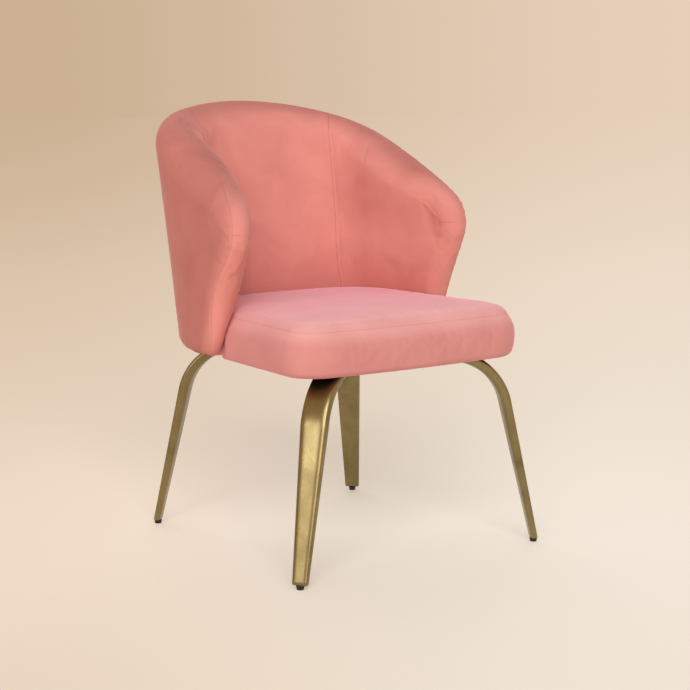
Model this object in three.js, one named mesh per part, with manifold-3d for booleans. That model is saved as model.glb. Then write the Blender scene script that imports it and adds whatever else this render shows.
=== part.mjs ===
import * as THREE from 'three';
import { mergeVertices } from 'three/addons/utils/BufferGeometryUtils.js';
import Module from 'manifold-3d';

// An upholstered armchair: a padded shell round a boxed seat, on four bent, tapered tube legs.
// Millimetres, +Z up, the sitter faces -Y, and the origin is on the floor below the middle of
// the chair's bounding box.
// "Left" and "right" are the sitter's: +X is left.

const wasm = await Module();
wasm.setup();

// Clearances and stock
const seatingGap = 0.3;
const screwClearance = 0.8;
const clothGap = 0.7;
const coreGap = 0.5;
const plugGap = 0.6;
const clothThickness = 1.5;
const cutOverrun = 2;

// Shell: outer face in plan at the reference height
const shellHalfWidth = 276;
const shellBackDepth = 322;
const shellArmDepth = 300;
const shellBackPower = 2.784;
const ellipsePower = 2;
const shellReferenceHeight = 600;
const backLeanShare = 0.24;
const armLeanShare = 0.017;

// Shell: outline of the wrapped sheet, as reach along the plan and height
const shellBottom = 362;
const shellTop = 822;
const tipHeight = 591.3;
const tipReach = 75.5;
const tipRadius = 68;
const tipRimAngle = 57;
const tipFrontAngle = 27;
const rimHandle = 107;
const crownHandle = 224;
const frontTopHandle = 58;
const frontFootHandle = 60;
const frontFootSweep = 24;
const footSetback = 5;
const footHeight = 40;
const footCorner = 20;

// Shell: padding thickness
const backPadThickness = 90;
const armPadThickness = 44;
const backFootThickness = 58;
const armFootThickness = 31;
const padSwellStart = 432;
const padSwellEnd = 522;
const backSwellStart = 365;
const armTaperStart = 340;
const armTaperEnd = 611;
const shoulderPadThickness = 23.5;
const shoulderPadStart = 560;
const shoulderPadEnd = 680;
const shoulderReachStart = 200;
const shoulderReachEnd = 420;

// Shell: seams and plywood
const seamReach = 194;
const seamFootReach = 254;
const coreDepth = 8;
const coreThickness = 10;
const coreEdgeShare = 0.6;

// Seat
const seatHalfWidth = 249.5;
const seatRearHalfWidth = 232;
const seatFrontDepth = 265;
const seatFrontBow = 8;
const seatCornerRadius = 62;
const seatRearDepth = 201;
const seatRearHandle = 150;
const seatSideStart = 30;
const seatSideHandle = 105;
const arcHandleShare = 0.5523;
const seatBottom = 355;
const seatSeamHeight = 435;
const seatCrown = 25;
const seatCrownPower = 6;
const boxingBulge = 4;
const boxingLowerRoll = 12;
const seatLipWidth = 24;
const seatRecess = 19;
const boardThickness = 15;
const dustCoverThickness = 0.6;
const dustCoverMargin = 6;

// Legs
const frontFootX = 267.8;
const frontFootY = -268.1;
const rearFootX = 237.5;
const rearFootY = 268.1;
const frontLegAngle = -29.8;
const rearLegAngle = 44.5;
const legTiltAngle = 12.65;
const legBendRadius = 112;
const legTubeRun = 90;
const legTopWidth = 50;
const legTopDepth = 20;
const legFootWidth = 29;
const legFootDepth = 13.5;
const legWall = 2;
const legSectionPower = 3.2;
const legEndChamfer = 1;
const legEndChamferHeight = 5;
const legClearance = 1.5;

// Leg plates and their fasteners
const plateLength = 84;
const plateWidth = 86;
const plateThickness = 3;
const plateCorner = 12;
const plateBeyondTube = 20;
const boltSpread = 66;
const boltFromPlateEnd = 11;
const boltDiameter = 6;
const boltHeadDiameter = 11;
const boltHeadHeight = 4;
const nutFlangeDiameter = 19;
const nutFlangeThickness = 1.5;
const nutBarrelDiameter = 8.4;
const nutBarrelLength = 9;

// Brackets between the seat board and the plywood shell
const sideBracketSetback = 60;
const rearBracketReach = 34;
const bracketWidth = 30;
const bracketThickness = 3;
const bracketRise = 58;
const bracketRun = 88;
const bracketStandoff = 2;
const bracketScrewEnd = 9;
const bracketScrewSpread = 15;
const bracketScrewDiameter = 4.5;
const bracketHeadDiameter = 9;
const bracketHeadHeight = 2.2;
const bracketScrewGrip = 8;
const bracketHeadSeat = 0.5;

// Levelling glides
const glideTopDiameter = 15;
const glideFloorDiameter = 12.4;
const glideHeight = 8;
const glideEdge = 0.8;
const stemDiameter = 4;
const stemSocketDepth = 3.6;
const stemReach = 7.5;
const plugLength = 8;

// Facet counts, and how the sections of the shell are spaced
const wingSteps = 13;
const centreSteps = 6;
const lineShares = [0.18, 0.4, 0.7];
const uprightFadeShare = 0.3;
const wingDensity = 1.25;
const rollAngleShares = [0, 1 / 3, 2 / 3, 1];
const seatPlanSteps = [7, 2, 6, 4];
const legSectionSteps = 16;
const legBendSteps = 7;
const legBoreSteps = 4;
const fastenerSides = 6;
const glideSides = 16;
const plateCornerSteps = 3;
const planDivisions = 400;
const searchSteps = 40;
const planEndAngle = -22.5;

const { lerp, smoothstep, degToRad } = THREE.MathUtils;

// Geometry helpers

/** A closed plan of two superellipse halves, walked from the middle of the back to the front. */
class RoundedPlan extends THREE.Curve {
  constructor(halfWidth, back, front, endAngle) {
    super();
    Object.assign(this, { halfWidth, back, front, endAngle, arcLengthDivisions: planDivisions });
  }

  getPoint(share, target = new THREE.Vector3()) {
    const angle = lerp(Math.PI / 2, this.endAngle, share);
    const { depth, power } = angle > 0 ? this.back : this.front;
    const across = Math.abs(Math.cos(angle) / this.halfWidth) ** power;
    const along = Math.abs(Math.sin(angle) / depth) ** power;
    const radius = (across + along) ** (-1 / power);
    return target.set(radius * Math.cos(angle), radius * Math.sin(angle), 0);
  }

  /** Point and outward normal at a reach along the plan; a negative reach is the mirrored side. */
  at(reach) {
    const share = Math.min(Math.abs(reach) / this.getLength(), 1);
    const point = this.getPointAt(share);
    const tangent = this.getTangentAt(share);
    const side = reach < 0 ? -1 : 1;
    return { x: side * point.x, y: point.y, nx: -side * tangent.y, ny: tangent.x };
  }
}

/** A geometry of points and triangles. */
function bodyOf(points, triangles) {
  const geometry = new THREE.BufferGeometry();
  geometry.setAttribute('position', new THREE.Float32BufferAttribute(points.flat(), 3));
  geometry.setIndex(triangles.flat());
  return geometry;
}

/** Joins rows of points into a skin; the first flippedRows rows have the mirrored diagonal. */
function skinTriangles(rows, columns, { closedRows, closedColumns, offset = 0, flippedRows = 0 }) {
  const triangles = [];
  const lastRow = closedRows ? rows : rows - 1;
  const lastColumn = closedColumns ? columns : columns - 1;
  for (let r = 0; r < lastRow; r += 1) {
    for (let c = 0; c < lastColumn; c += 1) {
      const a = offset + r * columns + c;
      const b = offset + r * columns + ((c + 1) % columns);
      const d = offset + ((r + 1) % rows) * columns + c;
      const e = offset + ((r + 1) % rows) * columns + ((c + 1) % columns);
      if (r < flippedRows) triangles.push([a, b, d], [b, e, d]);
      else triangles.push([a, b, e], [a, e, d]);
    }
  }
  return triangles;
}

/** A skin between two grids, closed round its edges; folded first and last rows need no wall. */
function plateBetween(front, back, { flippedRows, foldedEnds = false }) {
  const rows = front.length;
  const columns = front[0].length;
  const points = [...front.flat(), ...back.flat()];
  const half = rows * columns;
  const triangles = skinTriangles(rows, columns, { flippedRows });
  for (const [a, b, c] of skinTriangles(rows, columns, { offset: half, flippedRows })) {
    triangles.push([a, c, b]);
  }
  const edge = [];
  for (let r = 0; r < rows - 1; r += 1) edge.push([(r + 1) * columns - 1, (r + 2) * columns - 1]);
  for (let r = rows - 1; r > 0; r -= 1) edge.push([r * columns, (r - 1) * columns]);
  for (let c = 0; c < columns - 1 && !foldedEnds; c += 1) {
    edge.push([c, c + 1], [half - 1 - c, half - 2 - c]);
  }
  for (const [a, b] of edge) triangles.push([b, a, a + half], [b, a + half, b + half]);
  return bodyOf(points, triangles);
}

/** Stacked closed rings, each ring a list of points, capped at both ends by a fan. */
function ringStack(rings) {
  const columns = rings[0].length;
  const points = rings.flat();
  const triangles = skinTriangles(rings.length, columns, { closedColumns: true });
  const first = points.length;
  points.push(middleOf(rings[0]), middleOf(rings.at(-1)));
  const last = (rings.length - 1) * columns;
  for (let c = 0; c < columns; c += 1) {
    const next = (c + 1) % columns;
    triangles.push([first, next, c], [first + 1, last + c, last + next]);
  }
  return bodyOf(points, triangles);
}

function middleOf(ring) {
  const sum = ring.reduce((total, p) => total.map((value, axis) => value + p[axis]), [0, 0, 0]);
  return sum.map((value) => value / ring.length);
}

/** A ring body: rings that close on each other, such as a band or a tube with open ends. */
function ringBand(rings) {
  const columns = rings[0].length;
  const options = { closedRows: true, closedColumns: true };
  return bodyOf(rings.flat(), skinTriangles(rings.length, columns, options));
}

function volumeOf(geometry) {
  const position = geometry.getAttribute('position');
  const index = geometry.getIndex().array;
  const [a, b, c] = [new THREE.Vector3(), new THREE.Vector3(), new THREE.Vector3()];
  let volume = 0;
  for (let i = 0; i < index.length; i += 3) {
    a.fromBufferAttribute(position, index[i]);
    b.fromBufferAttribute(position, index[i + 1]);
    c.fromBufferAttribute(position, index[i + 2]);
    volume += a.dot(b.cross(c)) / 6;
  }
  return volume;
}

/** Position and index only, without the slivers at poles, with the faces pointing outwards. */
function facingOut(geometry) {
  const bare = new THREE.BufferGeometry();
  bare.setAttribute('position', geometry.getAttribute('position').clone());
  if (geometry.getIndex()) bare.setIndex([...geometry.getIndex().array]);
  const merged = mergeVertices(bare);
  const index = [...merged.getIndex().array];
  const kept = [];
  for (let i = 0; i < index.length; i += 3) {
    const [a, b, c] = index.slice(i, i + 3);
    if (a !== b && b !== c && c !== a) kept.push([a, b, c]);
  }
  merged.setIndex(kept.flat());
  if (volumeOf(merged) < 0) merged.setIndex(kept.map((face) => [...face].reverse()).flat());
  return merged;
}

function solidOf(geometry) {
  const clean = facingOut(geometry);
  const vertProperties = new Float32Array(clean.getAttribute('position').array);
  const triVerts = new Uint32Array(clean.getIndex().array);
  return new wasm.Manifold(new wasm.Mesh({ numProp: 3, vertProperties, triVerts }));
}

function geometryOf(solid) {
  const mesh = solid.getMesh();
  const geometry = new THREE.BufferGeometry();
  const positions = [];
  for (let i = 0; i < mesh.vertProperties.length; i += mesh.numProp) {
    positions.push(...mesh.vertProperties.slice(i, i + 3));
  }
  geometry.setAttribute('position', new THREE.Float32BufferAttribute(positions, 3));
  geometry.setIndex([...mesh.triVerts]);
  return geometry;
}

function cut(geometry, cutters) {
  let solid = solidOf(geometry);
  for (const cutter of cutters) solid = solid.subtract(solidOf(cutter));
  return geometryOf(solid);
}

function join(geometries) {
  let solid = solidOf(geometries[0]);
  for (const other of geometries.slice(1)) solid = solid.add(solidOf(other));
  return geometryOf(solid);
}

/** An upright round bar from one height to another. */
function uprightBar(diameter, low, high, sides = fastenerSides) {
  const bar = new THREE.CylinderGeometry(diameter / 2, diameter / 2, high - low, sides);
  return bar.rotateX(Math.PI / 2).translate(0, 0, (low + high) / 2);
}

// Shell surface

const shellPlan = new RoundedPlan(
  shellHalfWidth,
  { depth: shellBackDepth, power: shellBackPower },
  { depth: shellArmDepth, power: ellipsePower },
  degToRad(planEndAngle),
);

/** Reach along the plan from the middle of the back to where the arms start. */
const armReach = new RoundedPlan(
  shellHalfWidth,
  { depth: shellBackDepth, power: shellBackPower },
  { depth: shellArmDepth, power: ellipsePower },
  0,
).getLength();

function padThickness(reach, height) {
  const forward = smoothstep(Math.abs(reach), 0, armReach);
  const foot = lerp(backFootThickness, armFootThickness, forward);
  const armward = smoothstep(Math.abs(reach), armTaperStart, armTaperEnd);
  const full = lerp(backPadThickness, armPadThickness, armward);
  const start = lerp(backSwellStart, padSwellStart, forward);
  const shoulder = shoulderPadThickness * smoothstep(height, shoulderPadStart, shoulderPadEnd)
    * smoothstep(Math.abs(reach), shoulderReachStart, shoulderReachEnd);
  return lerp(foot, full, smoothstep(height, start, padSwellEnd)) + shoulder;
}

function leanAt(reach) {
  return lerp(backLeanShare, armLeanShare, smoothstep(Math.abs(reach), 0, armReach));
}

/** A point of the shell at a reach and height, sunk by a depth from the outer face. */
function shellPoint(reach, height, depth) {
  const { x, y, nx, ny } = shellPlan.at(reach);
  const shift = leanAt(reach) * (height - shellReferenceHeight) - depth;
  return [x + nx * shift, y + ny * shift, height];
}

// Shell outline, as a curve of (reach, height) for the left half

const tipMiddle = new THREE.Vector2(armReach + tipReach - tipRadius, tipHeight);
const rimTurn = degToRad(tipRimAngle);
const frontTurn = degToRad(tipFrontAngle);

/** A point at a distance from another along a heading. */
function onward({ x, y }, heading, distance) {
  return new THREE.Vector2(x + distance * Math.cos(heading), y + distance * Math.sin(heading));
}

const frontStart = onward(tipMiddle, -frontTurn, tipRadius);
const footTop = new THREE.Vector2(armReach - footSetback, shellBottom + footHeight);
const footControl = new THREE.Vector2(
  footTop.x - frontFootSweep * footHeight / frontFootHandle, shellBottom);
const footEnd = new THREE.Vector2(footControl.x - footCorner, shellBottom);

const lowerOutline = new THREE.CurvePath();
lowerOutline.add(new THREE.EllipseCurve(
  tipMiddle.x, tipMiddle.y, tipRadius, tipRadius, 0, -frontTurn, true));
lowerOutline.add(new THREE.CubicBezierCurve(
  frontStart,
  onward(frontStart, -frontTurn - Math.PI / 2, frontTopHandle),
  new THREE.Vector2(footTop.x + frontFootSweep, footTop.y + frontFootHandle),
  footTop,
));
lowerOutline.add(new THREE.QuadraticBezierCurve(footTop, footControl, footEnd));
lowerOutline.add(new THREE.LineCurve(footEnd, new THREE.Vector2(0, shellBottom)));

const rimStart = onward(tipMiddle, rimTurn, tipRadius);
const upperOutline = new THREE.CurvePath();
upperOutline.add(new THREE.EllipseCurve(
  tipMiddle.x, tipMiddle.y, tipRadius, tipRadius, 0, rimTurn, false));
upperOutline.add(new THREE.CubicBezierCurve(
  rimStart,
  onward(rimStart, rimTurn + Math.PI / 2, rimHandle),
  new THREE.Vector2(crownHandle, shellTop),
  new THREE.Vector2(0, shellTop),
));

/** Share along a half outline at which it has come in to a reach. */
function shareAtReach(curve, reach) {
  let low = 0;
  let high = 1;
  for (let step = 0; step < searchSteps; step += 1) {
    const middle = (low + high) / 2;
    if (curve.getPointAt(middle).x > reach) low = middle;
    else high = middle;
  }
  return (low + high) / 2;
}

/** Point of a half outline with its inward direction; at the tip both halves look straight back. */
function outlineEnd(curve, share, inwardTurn, upright) {
  const point = curve.getPointAt(share);
  const tangent = curve.getTangentAt(share);
  const inward = share > 0
    ? new THREE.Vector2(-tangent.y, tangent.x).multiplyScalar(inwardTurn)
    : new THREE.Vector2(-1, 0);
  const vertical = new THREE.Vector2(0, inward.y < 0 ? -1 : 1);
  inward.lerp(vertical, upright).normalize();
  return { point, inward, roll: padThickness(point.x, point.y) / 2 };
}

const centreShare = centreSteps / (centreSteps + 2 * wingSteps);

/** Both ends of the section line at a station from -1 (right tip) to 1 (left tip). */
function sectionEnds(station) {
  const side = Math.sign(station) || 1;
  const away = Math.abs(station);
  const shares = [[lowerOutline, seamFootReach], [upperOutline, seamReach]].map(([curve, seam]) => {
    if (away <= centreShare) return shareAtReach(curve, (away / centreShare) * seam);
    const fromTip = ((1 - away) / (1 - centreShare)) ** wingDensity;
    return fromTip * shareAtReach(curve, seam);
  });
  const upright = 1 - smoothstep(away, centreShare, centreShare + uprightFadeShare);
  return {
    side,
    lower: outlineEnd(lowerOutline, shares[0], -1, upright),
    upper: outlineEnd(upperOutline, shares[1], 1, upright),
  };
}

/** Node on the roll: the angle share runs from the crest (0) to the face (1). */
function rollNode(ends, name, face, angleShare) {
  return { ends, name, face, angle: angleShare * Math.PI / 2 };
}

/** Node on a face, at an inset from the outline and a share along the section line. */
function faceNode(ends, face, share, beyondRoll = 0) {
  return { ends, face, share, beyondRoll };
}

/** Places a node for a layer that lies a depth below the finished surface. */
function placeNode(node, layer) {
  const { ends, face } = node;
  if (node.name) {
    const { point, inward, roll } = ends[node.name];
    const radius = roll - layer;
    const inset = roll - radius * Math.cos(node.angle);
    const reach = point.x + inward.x * inset;
    const height = point.y + inward.y * inset;
    const sunk = roll - radius * Math.sin(node.angle);
    const full = lerp(2 * roll, padThickness(reach, height), Math.sin(node.angle));
    return shellPoint(ends.side * reach, height, face === 'outer' ? sunk : full - sunk);
  }
  const [reach, height] = lineEnds(ends, node.beyondRoll, node.share);
  const depth = face === 'outer' ? layer : padThickness(reach, height) - layer;
  return shellPoint(ends.side * reach, height, depth);
}

/** A point on the section line between the two rolls, in reach and height. */
function lineEnds(ends, beyondRoll, share) {
  const [low, high] = [ends.lower, ends.upper].map(({ point, inward, roll }) => (
    point.clone().addScaledVector(inward, roll + beyondRoll)));
  return [lerp(low.x, high.x, share), lerp(low.y, high.y, share)];
}

function stationsBetween(from, to, steps) {
  return Array.from({ length: steps + 1 }, (_, k) => lerp(from, to, k / steps));
}

const shellStations = stationsBetween(-1, 1, centreSteps + 2 * wingSteps);
const halfRows = wingSteps + centreSteps / 2;

/** Face and rolls of one side of the shell, from the lower crest to the upper crest. */
function sidePath(ends, face, angleShares) {
  return [
    ...angleShares.map((share) => rollNode(ends, 'lower', face, share)),
    ...lineShares.map((share) => faceNode(ends, face, share)),
    ...[...angleShares].reverse().map((share) => rollNode(ends, 'upper', face, share)),
  ];
}

// Shell pieces

/** The outside cloth: the outer face, and the rolls as far as the seam on the inside. */
function outerCover() {
  const seamShares = rollAngleShares.slice(1);
  const grid = (layer) => shellStations.map((station) => {
    const ends = sectionEnds(station);
    const inside = (name) => seamShares.map((share) => rollNode(ends, name, 'inner', share));
    const path = [
      ...inside('lower').reverse(),
      ...sidePath(ends, 'outer', rollAngleShares),
      ...inside('upper'),
    ];
    return path.map((node) => placeNode(node, layer));
  });
  return plateBetween(grid(0), grid(clothThickness), { flippedRows: halfRows, foldedEnds: true });
}

/** One panel of the inside cloth, from one station to another. */
function innerPanel(from, to, steps, flippedRows) {
  const stations = stationsBetween(from, to, steps);
  const beyondRoll = clothGap;
  const grid = (layer) => stations.map((station) => {
    const ends = sectionEnds(station);
    const path = [1, ...[...lineShares].reverse(), 0].map((share) => (
      faceNode(ends, 'inner', share, beyondRoll)));
    return path.map((node) => placeNode(node, layer));
  });
  return plateBetween(grid(0), grid(clothThickness), { flippedRows });
}

/** The moulded foam before the plywood and brackets are cut out of it. */
function foamBlank() {
  const layer = clothThickness + clothGap;
  const insideShares = rollAngleShares.slice(1);
  const rows = shellStations.map((station) => {
    const ends = sectionEnds(station);
    const path = [
      ...sidePath(ends, 'outer', rollAngleShares),
      ...sidePath(ends, 'inner', insideShares).reverse(),
    ];
    return path.map((node) => placeNode(node, layer));
  });
  const options = { closedColumns: true, flippedRows: halfRows };
  return bodyOf(rows.flat(), skinTriangles(rows.length, rows[0].length, options));
}

/** The bent plywood, or the room that it takes in the foam when it is grown by a margin. */
function plywoodSheet(margin) {
  const grid = (depth) => shellStations.map((station) => {
    const ends = sectionEnds(station);
    const [low, high] = [ends.lower, ends.upper].map(({ point, inward, roll }) => (
      point.clone().addScaledVector(inward, roll * coreEdgeShare - margin)));
    return [0, ...lineShares, 1].map((share) => {
      const reach = lerp(low.x, high.x, share);
      const height = lerp(low.y, high.y, share);
      return shellPoint(ends.side * reach, height, depth);
    });
  });
  const [outer, inner] = [coreDepth - margin, coreDepth + coreThickness + margin];
  return plateBetween(grid(outer), grid(inner), { flippedRows: halfRows });
}

// Brackets, each drawn in a frame whose X points out of the shell and whose Y runs along it

const boardBottom = seatBottom + seatRecess;
const boardTop = boardBottom + boardThickness;
const dustCoverTop = boardBottom - seatingGap;
const plateTop = dustCoverTop - dustCoverThickness - seatingGap;
const plateBottom = plateTop - plateThickness;
const bracketBottom = plateTop - bracketThickness;
const bracketInnerDepth = coreDepth + coreThickness + bracketStandoff;

const bracketSides = {
  left: armReach - sideBracketSetback,
  right: sideBracketSetback - armReach,
  rear_left: rearBracketReach,
  rear_right: -rearBracketReach,
};

/** Moves a bracket-frame geometry to its place on the shell. */
function placeAtReach(geometry, reach) {
  const { nx, ny } = shellPlan.at(reach);
  const [x, y] = shellPoint(reach, bracketBottom, bracketInnerDepth);
  return geometry.clone().rotateZ(Math.atan2(ny, nx)).translate(x, y, 0);
}

/** L profile of the bracket, leaning as the plywood leans, extruded to its width. */
function bracketProfile(reach, grow, width) {
  const lean = leanAt(reach);
  const top = bracketBottom + bracketRise;
  const shape = new THREE.Shape();
  shape.moveTo(grow, bracketBottom - grow);
  shape.lineTo(grow + lean * bracketRise, top + grow);
  shape.lineTo(lean * bracketRise - bracketThickness - grow, top + grow);
  shape.lineTo(lean * bracketThickness - bracketThickness - grow, plateTop + grow);
  shape.lineTo(-bracketRun - grow, plateTop + grow);
  shape.lineTo(-bracketRun - grow, bracketBottom - grow);
  shape.closePath();
  const solid = new THREE.ExtrudeGeometry(shape, { depth: width, bevelEnabled: false });
  return solid.rotateX(Math.PI / 2).translate(0, width / 2, 0);
}

const bracketHoleSides = [-bracketScrewSpread / 2, bracketScrewSpread / 2];
const flangeScrewRise = bracketRise - bracketScrewEnd;
const boardScrewRun = bracketRun - bracketScrewEnd;
const bracketHoleDiameter = bracketScrewDiameter + screwClearance;

/** A bar square to the upright flange at the height of its screws. */
function flangeBar(reach, diameter, outside, inside) {
  const lean = leanAt(reach);
  const bar = new THREE.CylinderGeometry(diameter / 2, diameter / 2, outside + inside, fastenerSides);
  return bar.rotateZ(Math.PI / 2)
    .translate((outside - inside) / 2, 0, 0)
    .rotateY(Math.atan(lean))
    .translate(lean * flangeScrewRise, 0, bracketBottom + flangeScrewRise);
}

/** An upright bar where the screws of the level flange go. */
function boardBar(diameter, low, high) {
  return uprightBar(diameter, low, high).translate(-boardScrewRun, 0, 0);
}

/** One copy on each side of the bracket's middle, placed on the shell. */
function atBracketSides(reach, geometry) {
  return bracketHoleSides.map((side) => placeAtReach(geometry.clone().translate(0, side, 0), reach));
}

/** The bracket with its four screws. */
function bracket(reach) {
  const headTop = bracketBottom + bracketHeadSeat;
  const headStart = bracketThickness - bracketHeadSeat;
  return join([
    placeAtReach(bracketProfile(reach, 0, bracketWidth), reach),
    ...atBracketSides(reach, flangeBar(reach, bracketScrewDiameter, bracketScrewGrip, headStart)),
    ...atBracketSides(reach, flangeBar(
      reach, bracketHeadDiameter, -headStart, bracketThickness + bracketHeadHeight)),
    ...atBracketSides(reach, boardBar(
      bracketScrewDiameter, headTop, boardBottom + bracketScrewGrip)),
    ...atBracketSides(reach, boardBar(
      bracketHeadDiameter, bracketBottom - bracketHeadHeight, headTop)),
  ]);
}

/** Room for a bracket and its screw heads in the padding and the cloth. */
function bracketRoom(reach) {
  const grow = bracketHeadHeight + 2 * seatingGap;
  const width = bracketWidth + 2 * screwClearance;
  return placeAtReach(bracketProfile(reach, grow, width), reach);
}

const bracketReaches = Object.values(bracketSides);
const plywoodScrewHoles = bracketReaches.flatMap((reach) => atBracketSides(reach, flangeBar(
  reach, bracketHoleDiameter, bracketScrewGrip + screwClearance, seatingGap)));
const boardScrewHoles = bracketReaches.flatMap((reach) => atBracketSides(reach, boardBar(
  bracketHoleDiameter, plateTop, boardBottom + bracketScrewGrip + screwClearance)));

// Seat

const frontCornerX = seatHalfWidth - seatCornerRadius;
const frontCornerY = seatFrontBow - seatFrontDepth;
const sideEnd = new THREE.Vector2(seatHalfWidth, frontCornerY + seatCornerRadius);
const sideStart = new THREE.Vector2(seatRearHalfWidth, seatSideStart);
const sideHeading = sideStart.clone().sub(sideEnd).angle();
const cornerEnd = new THREE.Vector2(frontCornerX, frontCornerY);
const bowControl = new THREE.Vector2(frontCornerX / 2, -seatFrontDepth);
const cornerHandle = arcHandleShare * seatCornerRadius;

/** Half of the seat's plan, from the middle of the rear edge to the middle of the front edge. */
const seatPlan = new THREE.CurvePath();
seatPlan.add(new THREE.CubicBezierCurve(
  new THREE.Vector2(0, seatRearDepth),
  new THREE.Vector2(seatRearHandle, seatRearDepth),
  onward(sideStart, sideHeading, seatSideHandle),
  sideStart,
));
seatPlan.add(new THREE.LineCurve(sideStart, sideEnd));
seatPlan.add(new THREE.CubicBezierCurve(
  sideEnd,
  onward(sideEnd, sideHeading, -cornerHandle),
  onward(cornerEnd, cornerEnd.clone().sub(bowControl).angle(), cornerHandle),
  cornerEnd,
));
seatPlan.add(new THREE.QuadraticBezierCurve(
  cornerEnd, bowControl, new THREE.Vector2(0, -seatFrontDepth)));

/** Evenly spaced points and outward normals along each curve of the half plan. */
const seatHalfPlan = seatPlan.curves.flatMap((curve, index) => (
  Array.from({ length: seatPlanSteps[index] }, (_, k) => {
    const share = k / seatPlanSteps[index];
    const { x, y } = curve.getPointAt(share);
    const tangent = curve.getTangentAt(share);
    return { x, y, nx: -tangent.y, ny: tangent.x };
  })));
const seatFrontMiddle = { x: 0, y: -seatFrontDepth, nx: 0, ny: -1 };
const seatOutline = [
  ...seatHalfPlan,
  seatFrontMiddle,
  ...seatHalfPlan.slice(1).reverse().map(({ x, y, nx, ny }) => ({ x: -x, y, nx: -nx, ny })),
];

/** A ring round the seat at an inset and height, drawn in to a share of its size. */
function seatRing(inset, height, share = 1) {
  return seatOutline.map(({ x, y, nx, ny }) => (
    [(x - nx * inset) * share, (y - ny * inset) * share, height]));
}

const seatCrownShares = [1, 0.985, 0.955, 0.9, 0.8, 0.55];
const boxingHeightShares = [0, 0.04, 0.13, 0.3, 0.62, 0.88, 1];

function crownHeight(share, layer) {
  return seatSeamHeight + (seatCrown - layer) * Math.sqrt(1 - share ** seatCrownPower);
}

/** Rings of the side band for a layer, from its lower roll to the seam. */
function boxingRings(layer, top) {
  const low = seatBottom + layer;
  return boxingHeightShares.map((share) => {
    const height = lerp(low, top, share);
    const aboveRoll = Math.min((height - low) / boxingLowerRoll, 1);
    const tuck = boxingLowerRoll * (1 - Math.sqrt(1 - (1 - aboveRoll) ** 2));
    return seatRing(layer + tuck - boxingBulge * Math.sin(Math.PI * share), height);
  });
}

function seatTopCover() {
  const outside = seatCrownShares.map((share) => seatRing(0, crownHeight(share, 0), share));
  const inside = seatCrownShares.map((share) => (
    seatRing(clothThickness, crownHeight(share, clothThickness), share)));
  return ringStack([...inside.reverse(), ...outside]);
}

/** The side band, wrapped under the padded lip and up to the board. */
function seatBoxing() {
  const top = seatSeamHeight - seatingGap;
  const rings = (layer) => [
    seatRing(seatLipWidth - layer, boardBottom - seatingGap),
    seatRing(seatLipWidth - layer, seatBottom + layer),
    ...boxingRings(layer, top),
  ];
  return ringBand([...rings(clothThickness).reverse(), ...rings(0)]);
}

function seatFoam() {
  const layer = clothThickness + clothGap;
  return ringStack([
    seatRing(seatLipWidth - layer, boardTop + seatingGap),
    seatRing(seatLipWidth - layer, seatBottom + layer),
    ...boxingRings(layer, seatSeamHeight - seatingGap),
    ...seatCrownShares.map((share) => seatRing(layer, crownHeight(share, layer), share)),
  ]);
}

/** A flat sheet inside the lip, at a margin from it. */
function seatSheet(margin, low, high) {
  const inset = seatLipWidth + margin;
  return ringStack([seatRing(inset, low), seatRing(inset, high)]);
}

// Legs: drawn in a frame whose X points outwards from the foot, then turned and moved to place

const legBottom = glideHeight + seatingGap;
const legTop = plateBottom - seatingGap;
const legAxisHeight = legTop - legTopDepth / 2;
const legTilt = degToRad(legTiltAngle);
const bendTurn = Math.PI / 2 - legTilt;
const straightDrop = legAxisHeight - legBendRadius * (1 - Math.cos(bendTurn)) - legBottom;
const bendEndX = -straightDrop * Math.tan(legTilt);
const bendStartX = bendEndX - legBendRadius * Math.sin(bendTurn);
const tubeEndX = bendStartX - legTubeRun;

/** Centre, heading and size of each section, from the inner end of the tube to the foot. */
function legStations(bendSteps) {
  const bend = Array.from({ length: bendSteps + 1 }, (_, k) => {
    const turn = bendTurn * k / bendSteps;
    const x = bendStartX + legBendRadius * Math.sin(turn);
    return { x, z: legAxisHeight - legBendRadius * (1 - Math.cos(turn)), turn, narrowing: 0 };
  });
  const chamferX = -legEndChamferHeight * Math.tan(legTilt);
  return [
    { x: tubeEndX, z: legAxisHeight, turn: 0, narrowing: 0 },
    ...bend,
    { x: chamferX, z: legBottom + legEndChamferHeight, turn: bendTurn, narrowing: 1 },
    { x: 0, z: legBottom, turn: Math.PI / 2, narrowing: 1, chamfer: legEndChamfer },
  ];
}

/** A ring of the flat oval section, set in from the outside of the tube. */
function legRing({ x, z, turn, narrowing, chamfer = 0 }, inset) {
  const taken = inset > 0 ? inset : inset + chamfer;
  const width = lerp(legTopWidth, legFootWidth, narrowing) / 2 - taken;
  const depth = lerp(legTopDepth, legFootDepth, narrowing) / 2 - taken;
  return Array.from({ length: legSectionSteps }, (_, k) => {
    const angle = 2 * Math.PI * (k + 1 / 2) / legSectionSteps;
    const radius = (Math.abs(Math.cos(angle)) ** legSectionPower
      + Math.abs(Math.sin(angle)) ** legSectionPower) ** (-1 / legSectionPower);
    const out = depth * radius * Math.sin(angle);
    return [
      x + out * Math.sin(turn), width * radius * Math.cos(angle), z + out * Math.cos(turn),
    ];
  });
}

function legTube() {
  const outside = legStations(legBendSteps).map((station) => legRing(station, 0));
  const inside = legStations(legBoreSteps).map((station) => legRing(station, legWall));
  return ringBand([...outside, ...inside.reverse()]);
}

/** The space that a leg passes through under the seat. */
function legRoom(leg) {
  const rings = legStations(legBendSteps).map((station) => legRing(station, -legClearance));
  return placeAtLeg(ringStack(rings), leg);
}

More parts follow.
